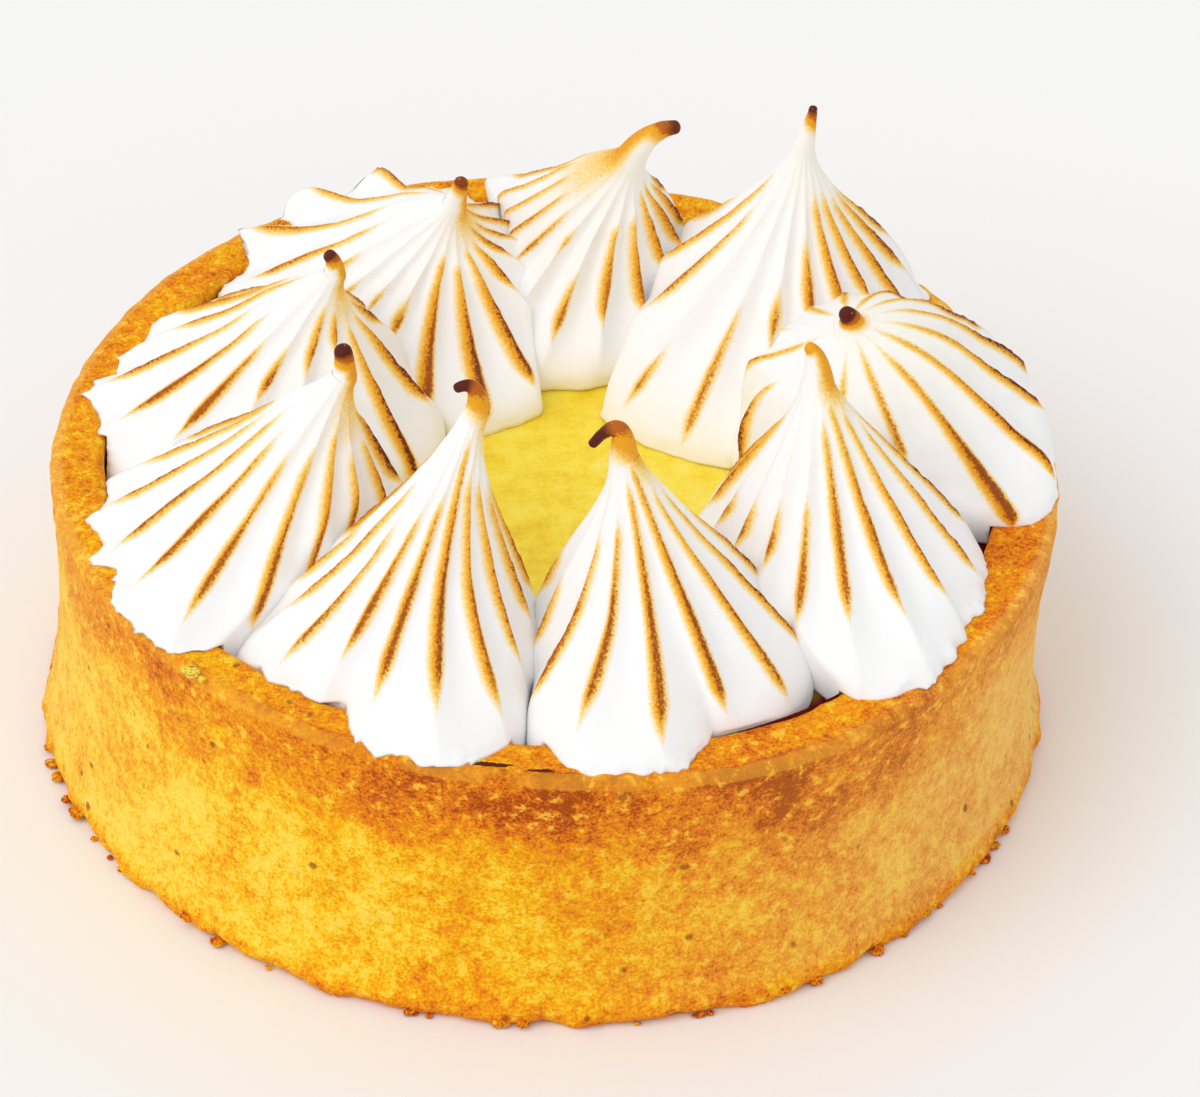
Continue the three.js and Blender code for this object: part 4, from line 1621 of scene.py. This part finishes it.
        # The golden side of the neck, and the singed tip.
        brown_from, dark_from = kiss.singe
        golden_side, golden_from = kiss.glow
        side_lit = facing(angle, golden_side)
        flank = smooth(-0.5, 1.0, side_lit) * smooth(golden_from, golden_from + 0.28, share)
        flank = flank * (0.62 + 0.38 * smooth(0.7, 0.85, share))
        singed = smooth(brown_from - 0.14, brown_from + 0.02, share + 0.02 * side_lit)
        toast = np.maximum(np.maximum(toast, -0.7 + 0.92 * flank), -0.7 + 1.1 * singed)
        lit_edge = smooth(0.7, 1.0, side_lit) * smooth(golden_from + 0.12, golden_from + 0.4, share)
        tip = -0.45 + 0.75 * smooth(brown_from - 0.05, dark_from, share + 0.02 * side_lit)
        tip = np.maximum(tip, -0.5 + 0.4 * lit_edge)
        tip_char = smooth(dark_from - 0.03, dark_from + 0.02, share)
        # Cream near the neck, more on its golden side, and at the inward foot a painted reflection of the
        # curd's yellow.
        outward = math.degrees(math.atan2(kiss.base[1], kiss.base[0]))
        inward = np.clip(-facing(angle, outward), 0.0, 1.0)
        creamy_and_bounce = 0.4 * smooth(0.3, 0.8, share) * (0.5 + 0.5 * side_lit)
        creamy_and_bounce = creamy_and_bounce + 0.55 * inward * (1.0 - smooth(0.0, 0.22, share))
        char = np.where(core > tip, char, tip_char)
        return {"toast": toast, "core": np.maximum(core, tip), "char": char, "creamy_and_bounce": creamy_and_bounce}

    def _curl_up(self, rows: np.ndarray, angle: np.ndarray, valley: np.ndarray) -> None:
        """Lifts the outer ends of some ridges off the rim.

        Args:
            rows: the rows, which are changed.
            angle: angle of each column.
            valley: how far each column is from a crest.
        """
        low, high, lift = self.kiss.lobes
        turned = np.degrees(angle) % 360.0
        picked = smooth(low, low + self.lobes_fade, turned)
        picked = picked * (1.0 - smooth(high - self.lobes_fade, high, turned))
        reach = np.hypot(rows[..., 0], rows[..., 1])
        rows[..., 2] += lift * picked * (1.0 - valley**2) * smooth(*self.lobes_reach, reach)

    def build(self, material: bpy.types.Material) -> bpy.types.Object:
        """Makes the kiss and dresses it.

        Args:
            material: the meringue's material.

        Returns:
            The new piece.
        """
        angle, places = self.angles()
        valley = np.abs(np.sin(math.pi * places))
        rows, shares = self._rows(angle, valley)
        self._curl_up(rows, angle, valley)
        marks = self._toast_marks(shares, angle, places)
        relief = 0.13 * self._grain(Texture.SOFT).rough(rows)
        relief = relief + 0.05 * self._grain(Texture.FINE).rough(rows, 2)
        relief = relief * smooth(0.02, 0.2, shares) * (1.0 - 0.75 * smooth(0.6, 0.85, shares))
        inner = np.hypot(rows[..., 0], rows[..., 1]) < self.shape.inner_radius - 6.0
        foam = 0.4 * self._grain(Texture.FOAM).rough(rows, 3)
        relief += np.where(inner, foam * (1.0 - smooth(0.0, 0.14, shares)), 0.0)
        burnt = smooth(-0.1, 0.2, marks["core"]) * (1.0 - 0.6 * smooth(0.8, 0.9, shares))
        relief += 0.09 * burnt * (0.4 + self._grain(Texture.BLISTERS).lumps(rows))
        skin = Skin(rows, np.array([*self.kiss.base, CURD_HEIGHT]), rows[-1, 0])
        skin.push(relief)
        skin.rings = self._tear(skin.rings)
        caps, end = self._round_tip(skin.rings)
        skin.rings = np.concatenate([skin.rings, caps])
        skin.last = end
        skin.marks = {name: np.concatenate([values, np.repeat(values[-1:], len(caps), axis=0)])
                      for name, values in marks.items()}
        piece = skin.build(self.kiss.name.replace("meringue", "piped_kiss"))
        piece.data.materials.append(material)
        return piece


@dataclass
class Studio:
    """Pale floor, soft light and the camera at the photo's angle.

    Attributes:
        floor_size: side of the floor in metres.
        world_colour: colour of the sky.
        world_strength: its strength.
        key_power: strength of the key light.
        key_spread: its angular size in degrees, which softens the shadows.
        key_place: direction that it comes from.
        camera_place: place of the camera in metres.
        camera_forward: direction in which it looks.
        camera_up: direction of its top.
        lens: its focal length in millimetres.
    """

    floor_size: float = 6.0
    world_colour: str = "ffffff"
    world_strength: float = 0.78
    key_power: float = 0.9
    key_spread: float = 50.0
    key_place: tuple[float, float, float] = (-0.45, -0.35, 0.65)
    camera_place: tuple[float, float, float] = (0.0, -0.392658, 0.321547)
    camera_forward: tuple[float, float, float] = (0.007973, 0.789107, -0.614204)
    camera_up: tuple[float, float, float] = (-0.014186, 0.614251, 0.788983)
    lens: float = 184.74

    def floor(self) -> bpy.types.Object:
        """Makes the floor.

        Returns:
            The floor's object.
        """
        half = self.floor_size / 2.0
        mesh = bpy.data.meshes.new("floor")
        corners = [(-half, -half, 0.0), (half, -half, 0.0), (half, half, 0.0), (-half, half, 0.0)]
        mesh.from_pydata(corners, [], [(0, 1, 2, 3)])
        mesh.materials.append(FloorFinish().material())
        floor = bpy.data.objects.new("floor", mesh)
        bpy.context.scene.collection.objects.link(floor)
        return floor

    def light(self) -> None:
        """Sets the sky and the key light."""
        scene = bpy.context.scene
        world = bpy.data.worlds.new("studio")
        world.use_nodes = True
        sky = world.node_tree.nodes["Background"]
        sky.inputs["Color"].default_value = tint(self.world_colour)
        sky.inputs["Strength"].default_value = self.world_strength
        scene.world = world
        lamp = bpy.data.lights.new("key", "SUN")
        lamp.angle = math.radians(self.key_spread)
        lamp.energy = self.key_power
        key = bpy.data.objects.new("key", lamp)
        key.location = self.key_place
        key.rotation_euler = (-Vector(self.key_place)).to_track_quat("-Z", "Y").to_euler()
        scene.collection.objects.link(key)
        scene.view_settings.view_transform = "Standard"

    def camera(self) -> None:
        """Sets the camera."""
        up = Vector(self.camera_up)
        back = -Vector(self.camera_forward)
        right = up.cross(back)
        turn = Matrix((right, up, back)).transposed()
        view = bpy.data.cameras.new("camera")
        view.sensor_width = 36.0
        view.lens = self.lens
        view.clip_end = 20.0
        camera = bpy.data.objects.new("camera", view)
        camera.matrix_world = Matrix.Translation(self.camera_place) @ turn.to_4x4()
        bpy.context.scene.collection.objects.link(camera)
        bpy.context.scene.camera = camera


def settle(piece: bpy.types.Object, slot: Slot, *nodes: str) -> None:
    """Puts a piece on the tart's body and hides the CAD nodes that it replaces.

    Args:
        piece: the piece.
        slot: material slot that its finish comes from; not used.
        nodes: CAD nodes that it replaces.
    """
    if nodes:
        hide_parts(*nodes)
    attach(piece, BODY)
    LOG.info("%s: %d faces", piece.name, len(piece.data.polygons))


def main() -> None:
    """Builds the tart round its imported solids."""
    logging.basicConfig(level=logging.INFO, format="%(message)s")
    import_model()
    studio = Studio()
    studio.camera()
    studio.light()
    studio.floor()
    settle(PastryCase().build(), Slot.PASTRY, "crust")
    settle(Crumbs().build(), Slot.PASTRY)
    settle(LemonCurd().build(), Slot.CURD, "lemon_curd")
    meringue = MeringueFinish().material()
    for seed, kiss in enumerate(KISSES):
        settle(MeringueKiss(kiss, seed).build(meringue), Slot.MERINGUE, kiss.name)


if __name__ == "__main__":
    main()
